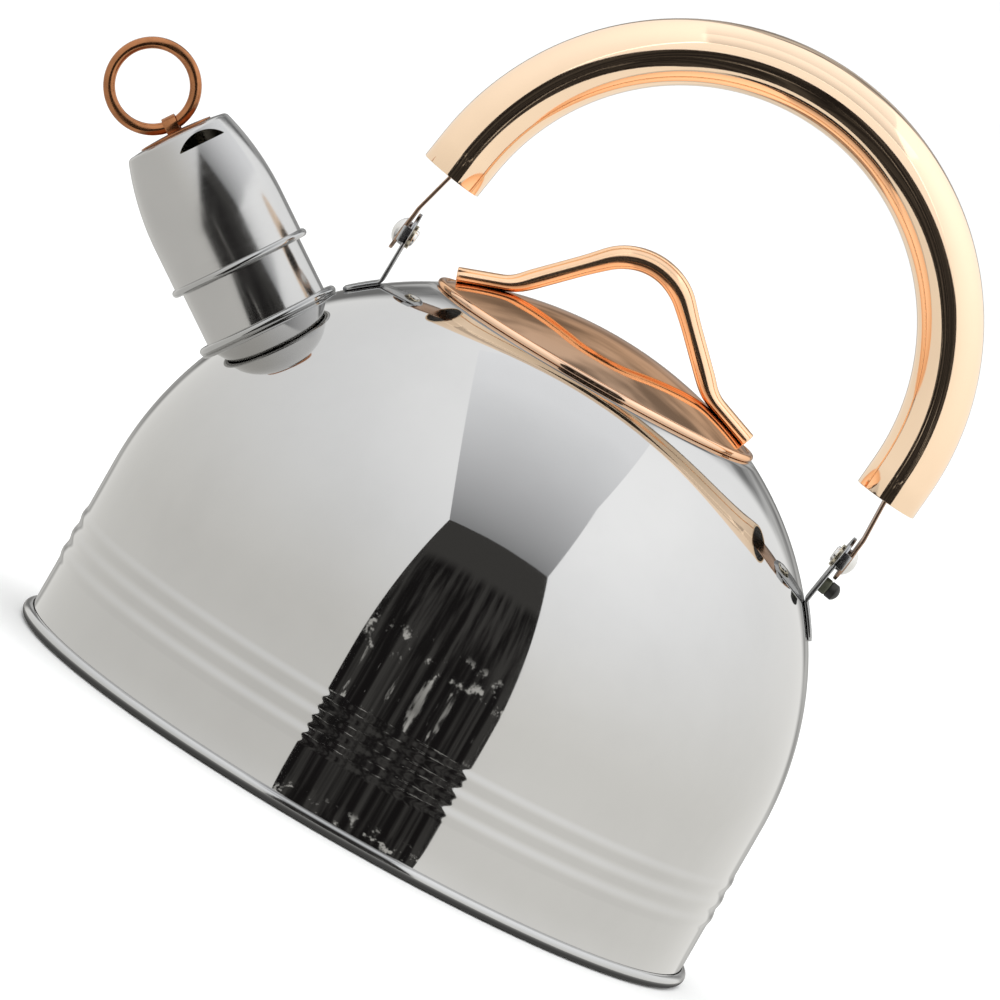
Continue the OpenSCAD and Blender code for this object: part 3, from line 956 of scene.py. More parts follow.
@dataclass
class WhistleCap(SubAssembly):
    """The whistle cap, which slides over the spout, with the plate, staple and ring on its top."""

    sheet: float = 0.5
    side_r: float = 19.65
    open_s: float = 115.9
    bead_r: float = 19.7
    bead_wire_r: float = 1.15
    taper_s: float = 129.2
    taper_len: float = 26.3
    taper_arc_r: float = 81.0
    crown: float = 1.2
    corner_r: float = 1.8
    slot_s: float = 150.6
    slot_len: float = 15.0
    slot_h: float = 3.5
    slot_corner_r: float = 0.5
    slot_angles: Point = (26.0, 220.0)
    plate_r: float = 10.8
    plate_t: float = 0.4
    wire_r: float = 1.7
    ring_mid_r: float = 12.2
    staple_w: float = 4.0
    staple_t: float = 0.7
    staple_bore_r: float = 2.0

    @property
    def top_s(self) -> float:
        """Place of the cap's top corner along the spout."""
        return self.taper_s + self.taper_len

    @property
    def top_r(self) -> float:
        """Radius of the cap at its top corner."""
        drop = self.taper_arc_r - math.sqrt(self.taper_arc_r**2 - self.taper_len**2)
        return self.side_r - drop

    @property
    def crown_arc_r(self) -> float:
        """Radius of the crowned top's arc."""
        return (self.top_r**2 + self.crown**2) / (2 * self.crown)

    @property
    def crown_mid_s(self) -> float:
        """Place of that arc's middle."""
        return self.top_s + self.crown - self.crown_arc_r

    @property
    def hinge_s(self) -> float:
        """Place of the ring's wire where the staple holds it."""
        hinge = Vector(self.form.joint("ring_swing")["pos_m"])
        return (self.form.spout.inverted() @ hinge).z / MM

    def build(self) -> None:
        """Makes the cap's pieces from its open end to the ring."""
        place = self.form.spout
        self.hand_over(self.cover(), Body.CAP, CAP_STEEL, place, "cap_shell")
        bead = arc((self.bead_r, self.open_s), self.bead_wire_r, 0, 360, 28)
        self.hand_over(Bench.lathe("cap_roll", bead, place, 128), Body.CAP, ROLL_STEEL, place, "cap_bead")
        self.dress_node("whistle_disc_lower", WASHER_BRASS, place)
        self.dress_node("whistle_disc_upper", WASHER_BRASS, place)
        self.hand_over(self.plate(), Body.CAP, RING_COPPER, place, "cap_plate")
        self.hand_over(self.staple(), Body.CAP, RING_COPPER, place, "ring_staple")
        self.hand_over(self.ring(), Body.RING, RING_COPPER, self.ring_frame(), "pull_ring")

    def cover(self) -> bpy.types.Object:
        """The drawn cover: straight over the spout, narrowing to a softly cornered, crowned top, with steam slots.

        Returns:
            The piece, in place.
        """
        last = math.degrees(math.asin(self.taper_len / self.taper_arc_r))
        side = arc((self.side_r - self.taper_arc_r, self.taper_s), self.taper_arc_r, 0, last, 24)
        rim = math.degrees(math.asin(self.top_r / self.crown_arc_r))
        top = arc((0, self.crown_mid_s), self.crown_arc_r, 90 - rim, 90, 12)
        corner = rounded([side[-3], side[-1], top[2]], self.corner_r, 7)
        skin = [(self.side_r, self.open_s)] + side[:-3] + corner + top[3:-1] + [(0, top[-1][1])]
        cover = Bench.lathe("cap_cover", skin, self.form.spout, 160)
        Bench.thicken(cover, self.sheet)
        for angle in self.slot_angles:
            Bench.cut(cover, self.slot_punch(angle))
        return cover

    def slot_punch(self, angle: float) -> bpy.types.Object:
        """The punch for one half-moon steam slot, its straight edge towards the bead.

        Args:
            angle: Degrees round the spout from the front towards the upper side.

        Returns:
            The punch, in place.
        """
        half = self.slot_len / 2
        bow_r = (half**2 + self.slot_h**2) / (2 * self.slot_h)
        spread = math.degrees(math.asin(half / bow_r))
        bow = arc((0, self.slot_h - bow_r), bow_r, 90 - spread, 90 + spread, 20)
        edge = rounded(bow, self.slot_corner_r, closed=True)[:-1]
        line = [Vector((x, 0, self.slot_s + z)) for x, z in edge]
        punch = Bench.draw("slot_punch", line)
        bpy.ops.mesh.edge_face_add()
        bpy.ops.mesh.extrude_region_move(TRANSFORM_OT_translate={"value": (0, -2 * self.side_r * MM, 0)})
        Bench.close_up()
        Bench.place(punch, self.form.spout @ Matrix.Rotation(math.radians(angle), 4, "Z"))
        return punch

    def plate(self) -> bpy.types.Object:
        """The thin plate that follows the cap's crown.

        Returns:
            The piece, in place.
        """
        over = self.crown_arc_r + self.plate_t
        spread = math.degrees(math.asin(self.plate_r / over))
        top = arc((0, self.crown_mid_s), over, 90 - spread, 90, 8)
        under = arc((0, self.crown_mid_s), self.crown_arc_r, 90, 90 - spread, 8)
        edge = rounded([top[1], top[0], under[-1], under[-2]], 0.15)
        line = [(0.0, under[0][1])] + under[1:-2] + edge[::-1] + top[2:-1] + [(0.0, top[-1][1])]
        return Bench.lathe("cap_disc", line, self.form.spout, 96)

    def staple(self) -> bpy.types.Object:
        """The strip bent over the ring's wire.

        Returns:
            The piece, in place.
        """
        mid_r = self.staple_bore_r + self.staple_t / 2
        foot_s = self.crown_mid_s + self.crown_arc_r + self.plate_t / 2
        bow = arc((0, self.hinge_s), mid_r, 180, 0, 16)
        path = [(-mid_r, foot_s)] + bow + [(mid_r, foot_s)]
        stations = stations_along(path, lambda run, at: self.staple_t, lambda run, at: self.staple_w)
        staple = Bench.sweep("cap_staple", stations, self.form.spout @ Matrix.Rotation(math.pi / 2, 4, "Z"))
        Bench.soften(staple, 0.18, 50)
        return staple

    def ring_frame(self) -> Matrix:
        """The ring's frame: its middle, with the third axis through the hole."""
        lift = Matrix.Translation((0, 0, (self.hinge_s + self.ring_mid_r) * MM))
        return self.form.spout @ lift @ Matrix.Rotation(math.pi / 2, 4, "X")

    def ring(self) -> bpy.types.Object:
        """The pull ring of round wire."""
        wire = arc((self.ring_mid_r, 0), self.wire_r, 0, 360, 28)
        return Bench.lathe("cap_loop", wire, self.ring_frame(), 128)


# ---- lid ----------------------------------------------------------------------------------


@dataclass
class Lid(SubAssembly):
    """The copper-toned lid with its rolled rim and skirt, and the bent bar that lifts it."""

    crown_r: float = 120.0
    sheet: float = 0.5
    roll_r: float = 1.1
    roll_span: Point = (144.0, -191.0)
    sheet_short: Point = (0.55, 0.52)
    seat_gap: float = 0.05
    skirt_r: float = 45.6
    skirt_h: float = 11.0
    bar_rise: float = 22.6
    bar_bend_r: float = 17.9
    bar_d: float = 6.7
    leg_d: float = 5.7
    knee_x: float = 31.7
    toe_x: float = 46.9
    knee_bend_r: float = 14.0
    foot_t: float = 4.6
    foot_w: float = 7.5
    foot_sink: float = 0.2
    foot_top_z: float = 148.3
    foot_fade: Point = (4.0, 6.0)
    foot_fade_w: Point = (5.0, 9.0)
    top_fade: Point = (22.0, 8.0)
    leg_slim: float = 0.4

    @property
    def roll_at(self) -> Point:
        """Middle of the rolled rim, as (radius, height)."""
        return self.form.lid_rim_r - self.roll_r, self.form.seat_z + self.seat_gap + self.roll_r

    @property
    def crown_z(self) -> float:
        """Height of the middle of the crown's sphere."""
        across, up = self.roll_at
        return up - math.sqrt(self.crown_r**2 - across**2)

    def build(self) -> None:
        """Makes the lid's three pieces."""
        upright = self.form.upright
        self.hand_over(self.crown(), Body.LID, LID_COPPER, upright, "lid_shell")
        self.hand_over(self.skirt(), Body.LID, HEM_STEEL, upright, "lid_skirt")
        self.hand_over(self.bar(), Body.LID, BAR_COPPER, upright, "lid_knob")

    def crown(self) -> bpy.types.Object:
        """The domed sheet and its rolled rim, which stands a little proud of it.

        Returns:
            The piece, in place.
        """
        over, under = self.crown_r + self.sheet / 2, self.crown_r - self.sheet / 2
        across = self.roll_at[0]
        lean = math.degrees(math.asin(across / self.crown_r))
        meets_over, meets_under = (lean - short for short in self.sheet_short)
        roll = arc(self.roll_at, self.roll_r, *self.roll_span, 32)
        top = arc((0, self.crown_z), over, 90, 90 - meets_over, 40)
        bottom = arc((0, self.crown_z), under, 90 - meets_under, 90, 24)
        line = [(0.0, top[0][1])] + top[1:] + roll + bottom[:-1] + [(0.0, bottom[-1][1])]
        return Bench.lathe("lid_crown", line, self.form.upright, 200)

    def skirt(self) -> bpy.types.Object:
        """The plain skirt that drops into the kettle's neck, its lower edge turned in.

        Returns:
            The piece, in place.
        """
        low = self.form.seat_z - self.skirt_h
        top = self.crown_z + math.sqrt((self.crown_r - self.sheet / 2) ** 2 - self.skirt_r**2)
        inner = self.skirt_r - self.sheet
        line = rounded([(self.skirt_r, top), (self.skirt_r, low), (inner, low), (inner, top + 0.2)], 0.22)
        return Bench.lathe("lid_collar", line + line[:1], self.form.upright, 160)

    def bar_path(self) -> Outline:
        """The bar's middle line: along the lid, up a leg, over the top bend, and down again.

        Returns:
            Points as (across, up), from the left toe to the right one.
        """
        top_z = self.crown_z + self.crown_r + self.sheet / 2 + self.bar_rise
        bend = (0.0, top_z - self.bar_bend_r)
        over = arc(bend, self.bar_bend_r, 45, 90, 12)
        knee = (self.knee_x, over[0][1] - (self.knee_x - over[0][0]))
        foot_r = self.crown_r + self.sheet / 2 + self.foot_t / 2 - self.foot_sink
        toe = (self.toe_x, self.crown_z + math.sqrt(foot_r**2 - self.toe_x**2))
        half = rounded([toe, knee, over[0]], self.knee_bend_r, 10)[:-1] + over
        return [(-x, z) for x, z in half] + half[-2::-1]

    def bar(self) -> bpy.types.Object:
        """The lifting bar: round over the top, slimmer down the legs and pressed flat at its feet.

        Returns:
            The piece, in place.
        """
        path = resampled(self.bar_path(), 1.3)
        length = sum((Vector(b) - Vector(a)).length for a, b in zip(path, path[1:]))
        foot_run = (Vector(self.bar_path()[0]) - Vector((-self.knee_x, self.foot_top_z))).length

        def from_end(run: float) -> float:
            """Distance to the nearer end."""
            return min(run, length - run)

        def thick(run: float, at: Point) -> float:
            """Thickness in the plane of the bends.

            Args:
                run: Distance along the bar.
                at: The place, which isn't used.

            Returns:
                The thickness.
            """
            leg = eased(from_end(run), foot_run - self.foot_fade[0], foot_run + self.foot_fade[1])
            top = eased(from_end(run), length / 2 - self.top_fade[0], length / 2 - self.top_fade[1])
            return self.foot_t + (self.leg_d - self.foot_t) * leg + (self.bar_d - self.leg_d) * top

        def wide(run: float, at: Point) -> float:
            """Width across the plane of the bends."""
            leg = eased(from_end(run), foot_run - self.foot_fade_w[0], foot_run + self.foot_fade_w[1])
            return self.foot_w + (self.bar_d - self.leg_slim - self.foot_w) * leg

        bar = Bench.sweep("lid_bar", stations_along(path, thick, wide), self.form.upright, 32)
        Bench.soften(bar, 0.3, 60)
        return bar


# ---- handle and its brackets --------------------------------------------------------------


@dataclass
class Handle(SubAssembly):
    """The tubular grip, the strap that runs through it down to the rivets, and the plugs in its ends."""

    arc_r: float = 75.67
    arc_z: float = 26.1
    open_a: float = 2.2
    leg: float = 8.5
    tube_r: float = 9.4
    tube_t: float = 1.0
    strap_w: float = 12.0
    strap_t: float = 1.0
    knee_z: float = 8.0
    knee_bend_r: float = 6.0
    straight_z: float = 2.0
    pivot_x: float = 77.77
    plug_deep: float = 6.0
    plug_in: float = 0.9
    plug_dish: float = 0.5
    plug_rim: Point = (1.6, 2.2)

    def leg_end(self, side: int) -> Point:
        """The middle of the grip's end, on the right for side 1 and the left for side -1.

        Args:
            side: Which end.

        Returns:
            The place, as (across, up) in the handle's frame.
        """
        a = math.radians(self.open_a)
        across = self.arc_r * math.cos(a) + self.leg * math.sin(a)
        return side * across, self.arc_z + self.arc_r * math.sin(a) - self.leg * math.cos(a)

    def grip_path(self) -> Outline:
        """The grip's middle line from its left end to its right end."""
        bow = arc((0, self.arc_z), self.arc_r, 180 - self.open_a, self.open_a, 84)
        return [self.leg_end(-1)] + bow + [self.leg_end(1)]

    def grip_d(self, run: float, at: Point) -> float:
        """The grip's diameter, the same all along."""
        return 2 * self.tube_r

    def build(self) -> None:
        """Makes the grip, the strap and both plugs."""
        place = self.form.handle
        stations = stations_along(self.grip_path(), self.grip_d, self.grip_d)
        tube = Bench.sweep("grip_pipe", stations, place, 64, hollow=True)
        Bench.thicken(tube, self.tube_t)
        Bench.soften(tube, 0.28, 60)
        self.hand_over(tube, Body.HANDLE, GRIP_COPPER, place, "handle_grip")
        self.hand_over(self.strap(), Body.HANDLE, STRAP_COPPER, place, "handle_strap")
        for side, name in ((-1, "left"), (1, "right")):
            self.hand_over(self.plug(side, name), Body.HANDLE, PLASTIC, place, f"grip_plug_{name}")

    def strap(self) -> bpy.types.Object:
        """The strap, one strip of flat steel with round tails.

        Returns:
            The piece, in place.
        """
        tail = [(self.pivot_x, -self.strap_w / 2 * math.sin(math.radians(b))) for b in (84, 74, 62, 48, 32, 16, 0)]
        end = self.leg_end(1)
        knee = [(self.pivot_x, self.straight_z), (self.pivot_x, self.knee_z), end]
        bow = arc((0, self.arc_z), self.arc_r, self.open_a + 2, 90, 30)
        half = tail + rounded(knee, self.knee_bend_r, 4) + bow
        path = half + [(-x, z) for x, z in half[-2::-1]]

        def wide(run: float, at: Point) -> float:
            """Width, which follows a round tail below the rivet."""
            return 2 * math.sqrt((self.strap_w / 2) ** 2 - min(0.0, at[1]) ** 2)

        strap = Bench.sweep("grip_strip", stations_along(path, lambda run, at: self.strap_t, wide), self.form.handle)
        Bench.soften(strap, 0.2, 50)
        return strap

    def plug(self, side: int, name: str) -> bpy.types.Object:
        """A plug, set back a little from the grip's end.

        Args:
            side: 1 for the right end and -1 for the left.
            name: The end's name.

        Returns:
            The plug, in place.
        """
        radius = self.tube_r - self.tube_t
        face, deep, dish = self.plug_in, self.plug_in + self.plug_deep, self.plug_in + self.plug_dish
        rim, slope = (radius - width for width in self.plug_rim)
        line = [(0, dish), (slope, dish), (rim, face), (radius, face), (radius, deep), (0, deep)]
        lean = Matrix.Rotation(math.radians(-self.open_a * side), 4, "Y")
        x, z = self.leg_end(side)
        place = self.form.handle @ Matrix.Translation((x * MM, 0, z * MM)) @ lean
        return Bench.lathe(f"end_plug_{name}", rounded(line, 0.3), place, 64)


@dataclass
class Pivot(SubAssembly):
    """One pivot: a bracket on the dome, the rivet through its ear, and the washer behind it."""

    side: int = 1
    name: str = "right"
    lean: float = 9.1
    half_span: float = 77.77
    ear_in: float = 2.2
    strip_t: float = 1.0
    strip_w: float = 14.0
    foot_run: float = 7.5
    foot_corner_r: float = 2.4
    bend_r: float = 1.7
    bend_top_z: float = -3.0
    ear_gap: float = 1.2
    strap_t: float = 1.0
    strap_w: float = 12.0
    side_play: float = 0.15
    lug_h: float = 4.8
    lug_cover: float = 0.7
    rivet_r: float = 2.5
    head_r: float = 4.0
    head_h: float = 2.0
    tail_out: float = 0.4
    peened: tuple[Point, ...] = ((0.0, 0.0), (1.7, 0.08), (2.3, 0.25))
    peened_h: float = 0.55
    washer_r: float = 3.6
    washer_t: float = 1.0
    stud_r: float = 2.4
    stud_down: float = 8.9
    stud_base: float = 2.4
    stud_nose: float = 3.4
    socket_step: float = 0.25
    nose_edge: float = 0.2
    nose_ball: float = 1.2

    @property
    def pivot_frame(self) -> Matrix:
        """The handle's frame at this side, its third axis along the rivet and outwards.

        Returns:
            The frame, as a matrix.
        """
        handle = self.form.handle
        out = handle.to_3x3() @ Vector((self.side, 0, 0))
        return frame_at(handle.translation / MM, handle.to_3x3() @ Vector((0, 1, 0)), out)

    @property
    def ear_frame(self) -> Matrix:
        """The ear's frame: the first axis outwards, the third up along the ear.

        Returns:
            The frame, as a matrix.
        """
        a = math.radians(self.lean)
        up = Vector((math.sin(a), 0, math.cos(a)))
        out = Vector((math.cos(a), 0, -math.sin(a))) * self.side
        origin = self.form.handle @ Vector((self.side * (self.half_span - self.ear_in) * MM, 0, 0))
        return frame_at(origin / MM, out, up)

    @property
    def ear_axle(self) -> Matrix:
        """The ear's frame turned so that its third axis points outwards."""
        return self.ear_frame @ Matrix.Rotation(math.pi / 2, 4, "Y")

    def build(self) -> None:
        """Makes the bracket, rivet and washer, and dresses the spacer in front of the ear."""
        self.hand_over(self.bracket(), Body.KETTLE, STRIP_STEEL, self.ear_frame, f"bracket_{self.name}")
        self.hand_over(self.rivet(), Body.KETTLE, RIVET_STEEL, self.pivot_frame, f"rivet_{self.name}")
        face = -self.strip_t / 2
        back = face - self.washer_t
        washer = [(self.rivet_r, back), (self.washer_r, back), (self.washer_r, face), (self.rivet_r, face)]
        disc = Bench.lathe(f"back_washer_{self.name}", rounded(washer, 0.2, closed=True), self.ear_axle, 48)
        self.hand_over(disc, Body.KETTLE, WASHER_BRASS, self.ear_axle, f"washer_{self.name}")
        self.dress_node(f"spacer_{self.name}", STRIP_STEEL, self.pivot_frame)

    def bracket_path(self) -> Outline:
        """The strip's middle line in the ear's frame: up the dome's slope, round the bend and up the ear.

        Returns:
            Points as (across, up), from the foot to the ear's top.
        """
        form = self.form
        middle = self.ear_frame.inverted() @ (Vector((self.side * form.dome_off, 0, form.wall_h)) * MM) / MM
        reach = form.dome_r + self.strip_t / 2
        foot_a = math.degrees(math.acos((self.strip_t / 2 + self.foot_run - middle.x) / reach))
        bend_a = math.degrees(math.acos(-middle.x / reach))
        foot = arc((middle.x, middle.z), reach, foot_a, bend_a, 9)
        ear_r = self.strip_w / 2
        top = [(0.0, ear_r * math.sin(math.radians(b))) for b in (0, 15, 30, 45, 58, 70, 80)]
        return rounded([*foot[:-2], foot[-1], (0.0, self.bend_top_z)], self.bend_r, 5) + top

    def bracket(self) -> bpy.types.Object:
        """The bent bracket with its round-topped ear and the lug that stops the strap in front.

        Returns:
            The piece, in place.
        """
        path = self.bracket_path()
        ear_r = self.strip_w / 2

        def wide(run: float, at: Point) -> float:
            """Width: round corners on the foot, and the ear's round top.

            Args:
                run: Distance along the strip.
                at: The place, as (across, up).

            Returns:
                The width.
            """
            corner = self.foot_corner_r
            nick = corner - math.sqrt(corner**2 - max(0.0, corner - run - 0.1) ** 2)
            return 2 * math.sqrt(ear_r**2 - max(0.0, at[1]) ** 2) - 2 * nick

        stations = stations_along(path, lambda run, at: self.strip_t, wide)
        piece = Bench.sweep(f"ear_{self.name}", stations, Matrix.Identity(4))
        depth = self.strip_t + self.ear_gap + self.lug_cover * self.strap_t
        inner = self.strap_w / 2 + self.side_play
        bpy.ops.object.mode_set(mode="EDIT")
        bpy.ops.mesh.select_all(action="DESELECT")
        bpy.ops.mesh.primitive_cube_add(size=MM)
        bpy.ops.transform.resize(value=(depth, ear_r - inner, self.lug_h), center_override=(0, 0, 0))
        middle = Vector((depth / 2 - self.strip_t / 2, -self.side * (ear_r + inner) / 2, 0)) * MM
        bpy.ops.transform.translate(value=middle)
        bpy.ops.object.mode_set(mode="OBJECT")
        Bench.soften(piece, 0.22, 50)
        Bench.place(piece, self.ear_frame)
        return piece

    def rivet(self) -> bpy.types.Object:
        """The rivet, with a domed head over the strap and a peened tail behind the ear.

        Returns:
            The piece, in place.
        """
        head = self.half_span + self.strap_t / 2 + self.side_play
        tail = self.half_span - self.ear_in - self.strip_t - self.washer_t - self.tail_out
        ball_r = (self.head_r**2 + self.head_h**2) / (2 * self.head_h)
        spread = math.degrees(math.asin(self.head_r / ball_r))
        dome = arc((0, head + self.head_h - ball_r), ball_r, 90 - spread, 90, 14)
        line = [(across, tail + rise) for across, rise in self.peened]
        line += [(self.rivet_r, tail + self.peened_h), (self.rivet_r, head)]
        rim = rounded([(self.rivet_r, head), dome[0], dome[1], dome[2]], 0.2)
        line += rim[1:-1] + dome[2:-1] + [(0.0, dome[-1][1])]
        return Bench.lathe(f"pivot_rivet_{self.name}", line, self.pivot_frame, 64)


@dataclass
class StuddedPivot(Pivot):
    """The right-hand pivot, with the buffer stud that stands below the strap's tail."""

    def build(self) -> None:
        """Makes the pivot and its stud."""
        super().build()
        place = self.ear_axle @ Matrix.Translation((self.stud_down * MM, 0, 0))
        face = self.strip_t / 2
        neck = face + self.stud_base
        rim, low = self.stud_r - self.socket_step, neck - 2 * self.socket_step
        socket = [(0, face), (self.stud_r, face), (self.stud_r, low), (rim, neck), (0, neck)]
        base = Bench.lathe("stud_socket", rounded(socket, 0.2), place, 48)
        self.hand_over(base, Body.KETTLE, SOCKET, place, "stud_base")
        nose_r = self.stud_r * self.nose_ball
        tip = neck + self.stud_nose
        shoulder = math.degrees(math.acos(self.stud_r / nose_r))
        nose = [(0.0, neck), (self.stud_r - self.nose_edge, neck), (self.stud_r, neck + self.nose_edge)]
        nose += arc((0, tip - nose_r), nose_r, shoulder, 90, 12)[:-1] + [(0.0, tip)]
        cap = Bench.lathe("stud_nose", nose, place, 48)
        self.hand_over(cap, Body.KETTLE, RUBBER, place, "stud_buffer")


# ---- studio -------------------------------------------------------------------------------


@dataclass(frozen=True)
class Studio:
    """A light tent: a pale floor, bright sides, a greyer roof, and the dark slit that the camera looks through.

    Its sizes are in metres and its angles in degrees.
    """

    aim: tuple[float, float, float] = (-0.0051, 0.0, 0.0937)
    distance: float = 2.5
    view_width: float = 0.281
    elevation: float = 5.0
    roll: float = 29.8
    sensor: float = 36.0
    slit_y: float = -0.77
    slit_foot: float = -0.62
    foot_span: Point = (-0.32, 0.415)
    roof_span: Point = (-0.267, 0.315)
    roof_z: float = 0.75
    roof_back: tuple[Point, ...] = ((0.225, -0.24), (0.198, 0.28), (-0.267, 0.28))
    shade_r: float = 0.127
    shade_z: float = -0.001
    floor_r: float = 40.0
    far_clip: float = 100.0

    def build(self) -> None:
        """Sets up the camera, floor, slit, lights and surrounding light."""
        self.camera()
        self.floor()
        self.slit()
        self.lights()
        self.tent()
        bpy.context.scene.view_settings.view_transform = "Standard"

    def camera(self) -> None:
        """Puts the camera at its angle, rolled so that the kettle leans, with a long lens."""
        e, r = math.radians(self.elevation), math.radians(self.roll)
        toward = Vector((0, math.cos(e), -math.sin(e)))
        level, upward = Vector((1, 0, 0)), Vector((0, math.sin(e), math.cos(e)))
        right = level * math.cos(r) + upward * math.sin(r)
        up = upward * math.cos(r) - level * math.sin(r)
        eye = Matrix((right, up, -toward)).transposed().to_4x4()
        eye.translation = Vector(self.aim) - toward * self.distance
        bpy.ops.object.camera_add()
        cam = bpy.context.active_object
        cam.name = "studio_camera"
        cam.matrix_world = eye
        cam.data.sensor_width = self.sensor
        cam.data.lens = self.sensor * self.distance / self.view_width
        cam.data.clip_end = self.far_clip
        bpy.context.scene.camera = cam

    def floor(self) -> None:
        """Lays a large pale floor; mirrors see the tent's own floor tone instead of it."""
        bpy.ops.mesh.primitive_circle_add(vertices=96, radius=self.floor_r, fill_type="NGON")
        floor = bpy.context.active_object
        floor.name = "studio_floor"
        n = Nodes(bpy.data.materials.new("floor_paint"))
        tone = n.ranged(n.noise(n.coords(), 900), 0.3, 0.7, 0.0, 1.0)
        n.feed(Base_Color=n.blend(tone, (0.90, 0.90, 0.89), (0.93, 0.93, 0.92)), Roughness=0.9)
        floor.data.materials.append(n.owner)
        floor.visible_glossy = False
        floor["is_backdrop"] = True

    @staticmethod
    def card(name: str, corners: list[Triple], tone: Callable[[Nodes], Socket]) -> None:
        """Hangs a glowing card that only reflections see.

        Args:
            name: Its name.
            corners: Its corners in metres.
            tone: Builds the colour that it glows in.
        """
        card = Bench.draw(name, [Vector(c) / MM for c in corners])
        bpy.ops.mesh.edge_face_add()
        bpy.ops.object.mode_set(mode="OBJECT")
        n = Nodes(bpy.data.materials.new(f"{name}_glow"))
        black = (0, 0, 0, 1)
        n.feed(
            Emission_Color=tone(n), Emission_Strength=1.0, Base_Color=black, Roughness=1.0, Specular_IOR_Level=0.0
        )
        card.data.materials.append(n.owner)
        card.visible_camera = card.visible_diffuse = card.visible_shadow = False
        card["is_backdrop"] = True

    def slit(self) -> None:
        """Stands the dark slit in front, narrower towards its top, under a roof card that brightens to the back."""
        low = [(x, self.slit_y, self.slit_foot) for x in self.foot_span]
        left, right = ((x, self.slit_y, self.roof_z) for x in self.roof_span)
        self.card("studio_slit", [*low, right, left], self.slit_tone)
        far = [(x, y, self.roof_z) for x, y in self.roof_back]
        self.card("studio_roof", [left, right, *far], self.roof_tone)
        # The shade disc under the kettle glows with a painted contact shadow that only reflections see.
        ring = [(*spot, self.shade_z) for spot in arc((0, 0), self.shade_r, 0, 345, 23)]
        self.card("studio_shade", ring, self.shade_tone)

    @staticmethod
    def slit_tone(n: Nodes) -> Socket:
        """Near black, with dim folds that hang down it and a few small gleams low down.

        Args:
            n: The card's nodes.

        Returns:
            The colour.
        """
        coords = n.coords()
        height = n.parts(coords)[2]
        folds = n.ranged(n.noise(n.scaled(coords, (1, 1, 0.07)), 30, 4.0, 0.6), 0.4, 0.66, 1.0, 0.0)
        calm = n.ranged(height, 0.44, 0.52, 1.0, 0.0)
        dark = n.blend(n.math("MULTIPLY", folds, calm), (0.062, 0.06, 0.057), (0.012, 0.011, 0.011))
        spots = n.ranged(n.noise(n.scaled(coords, (1, 1, 0.8)), 60, 4.0, 0.75), 0.57, 0.64, 0.0, 1.0)
        below = n.ranged(height, 0.1, 0.16, 1.0, 0.0)
        above = n.ranged(height, -0.06, 0.0, 0.0, 1.0)
        shelf = n.math("MULTIPLY", below, above)
        return n.blend(n.math("MULTIPLY", shelf, spots), dark, (0.6, 0.59, 0.56))

    @staticmethod
    def shade_tone(n: Nodes) -> Socket:
        """The floor as the kettle's foot sees it in reflections, with a painted contact shadow: dark underneath it,
        and pale a little way off.
        """
        tone = n.ramp(n.length(n.coords()), ((0.1, 0.05), (0.108, 0.1), (0.118, 0.35), (0.127, 0.6)))
        return n.scaled(tone, (1.01, 1.0, 0.97))

    @staticmethod
    def roof_tone(n: Nodes) -> Socket:
        """Grey over the slit, and brighter towards the back.

        Args:
            n: The card's nodes.

        Returns:
            The colour.
        """
        depth = n.parts(n.coords())[1]
        tone = n.ramp(depth, ((-0.77, 0.35), (-0.45, 0.66), (-0.19, 0.93), (0.08, 1.16), (0.28, 1.22)))
        return n.scaled(tone, (0.985, 1.0, 1.03))

    def lights(self) -> None:
        """Hangs a soft light that whitens the floor, and two softboxes that only the grip and the bar take."""
        self.area("floor_light", (0.2, 0.4, 1.9), (0, 0, 0), (2.6, 2.6), 18, mirrored=False)
        copper = bpy.data.collections.new("copper_pieces")
        for name in ("grip_pipe", "lid_bar"):
            copper.objects.link(bpy.data.objects[name])
        front = self.area("front_softbox", (0.02, -0.74, 0.54), (90, 0, 0), (0.62, 0.42), 0.8, mirrored=True)
        roof = self.area("roof_softbox", (0.02, -0.48, 0.74), (0, 0, 0), (0.58, 0.56), 0.28, mirrored=True)
        for box in (front, roof):
            box.light_linking.receiver_collection = copper

    @staticmethod
    def area(name: str, at: tuple, turn: tuple, size: Point, power: float, mirrored: bool) -> bpy.types.Object:
        """Adds a rectangular area light.

        Args:
            name: Its name.
            at: Where it is, in metres.
            turn: How it is turned, in degrees.
            size: Its width and length in metres.
            power: Its power in watts.
            mirrored: Whether polished pieces reflect it.

        Returns:
            The light.
        """
        bpy.ops.object.light_add(type="AREA", location=at, rotation=tuple(math.radians(t) for t in turn))
        light = bpy.context.active_object
        light.name = name
        light.data.shape = "RECTANGLE"
        light.data.size, light.data.size_y = size
        light.data.energy = power
        light.visible_camera = False
        light.visible_glossy = mirrored
        return light

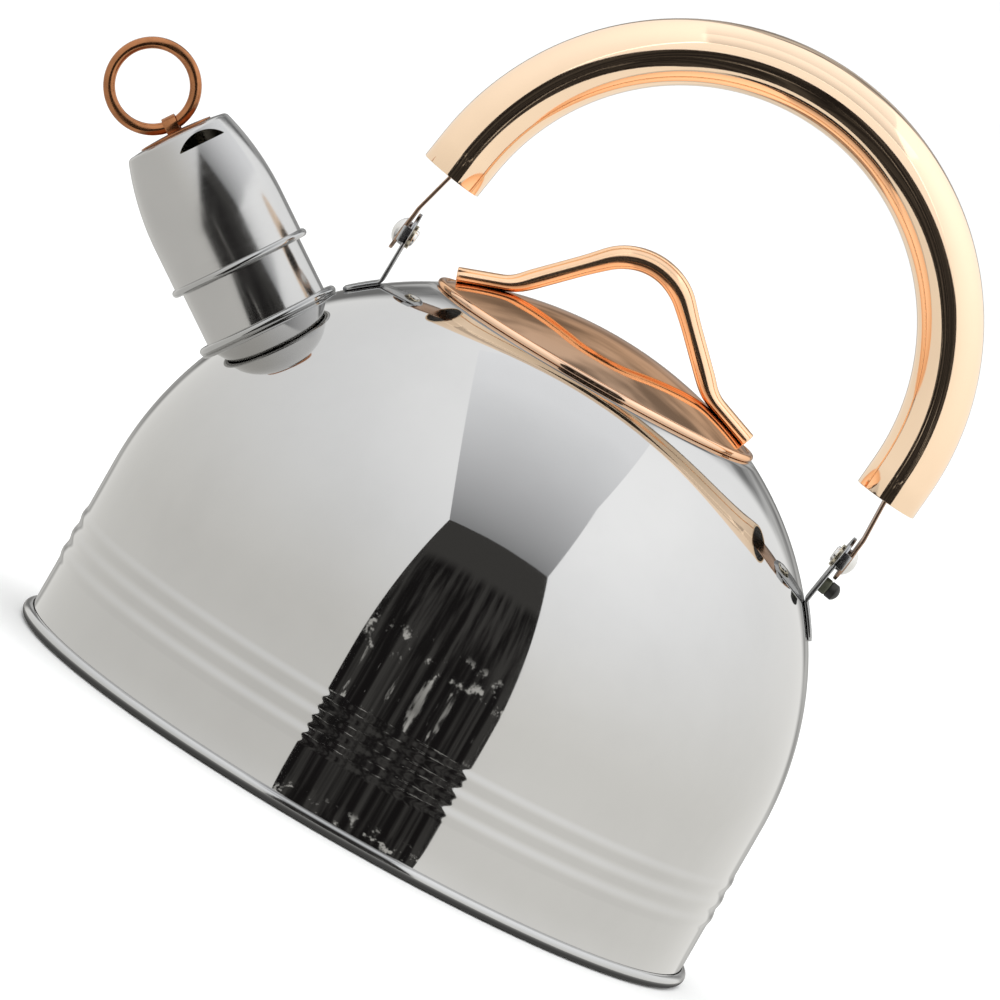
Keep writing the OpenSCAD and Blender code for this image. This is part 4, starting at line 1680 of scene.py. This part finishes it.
    def tent(self) -> None:
        """Lights the surroundings: bright sides, brighter overhead, a dimmer room behind and a floor that darkens."""
        world = bpy.data.worlds.new("studio_tent")
        bpy.context.scene.world = world
        n = Nodes(world)
        n.tree.nodes.clear()
        coords = n.coords("Generated")
        across, deep, up = n.parts(coords)
        stops = ((-1.0, 0.84), (-0.3, 0.86), (-0.06, 0.92), (0.1, 0.97), (0.5, 1.12), (0.85, 1.3), (1.0, 1.34))
        sides = n.math("MULTIPLY", n.ramp(up, stops), n.ranged(across, -0.7, 0.7, 0.94, 1.08))
        wedge = n.math("MULTIPLY_ADD", deep, -0.36, n.math("ABSOLUTE", across))
        within = n.ranged(wedge, -0.05, 0.05, 1.0, 0.0)
        under = n.ranged(up, 0.8, 0.88, 1.0, 0.0)
        over = n.ranged(up, -0.3, 0.0, 0.3, 1.0)
        behind = n.math("MULTIPLY", n.math("MULTIPLY", within, under), over)
        patches = n.add("TexNoise", {"Vector": coords, "Scale": 4.5, "Detail": 3.0}).outputs["Fac"]
        room = n.ranged(patches, 0.38, 0.62, 0.2, 0.58)
        light = n.add("Mix", {0: behind, 2: sides, 3: room}).outputs[0]
        tint = n.blend(n.ranged(up, -0.2, 0.7, 0.0, 1.0), (1.01, 1.0, 0.965), (0.99, 1.0, 1.015))
        seen = n.add("LightPath").outputs["Is Camera Ray"]
        shown = n.blend(seen, n.scaled(tint, light), (1, 1, 1))
        n.add("OutputWorld", {0: n.add("Background", {0: shown, 1: 1.0}).outputs[0]})


# ---- the build ----------------------------------------------------------------------------


def corners() -> list[list[float]]:
    """The shown object's lowest and highest corners as plain numbers."""
    return [list(corner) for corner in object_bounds()]


def main() -> None:
    """Builds every sub-assembly, then the studio."""
    logging.basicConfig(level=logging.INFO, format="%(name)s: %(message)s")
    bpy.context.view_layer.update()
    form = Form()
    parts = [
        DrawnBody(form),
        Base(form),
        Spout(form),
        WhistleCap(form),
        Lid(form),
        Handle(form),
        Pivot(form, side=-1, name="left", lean=1.2),
        StuddedPivot(form),
    ]
    for part in parts:
        part.build()
        LOG.info("%s done, %d pieces", type(part).__name__, part.made)
    Studio().build()


if __name__ == "__main__":
    main()
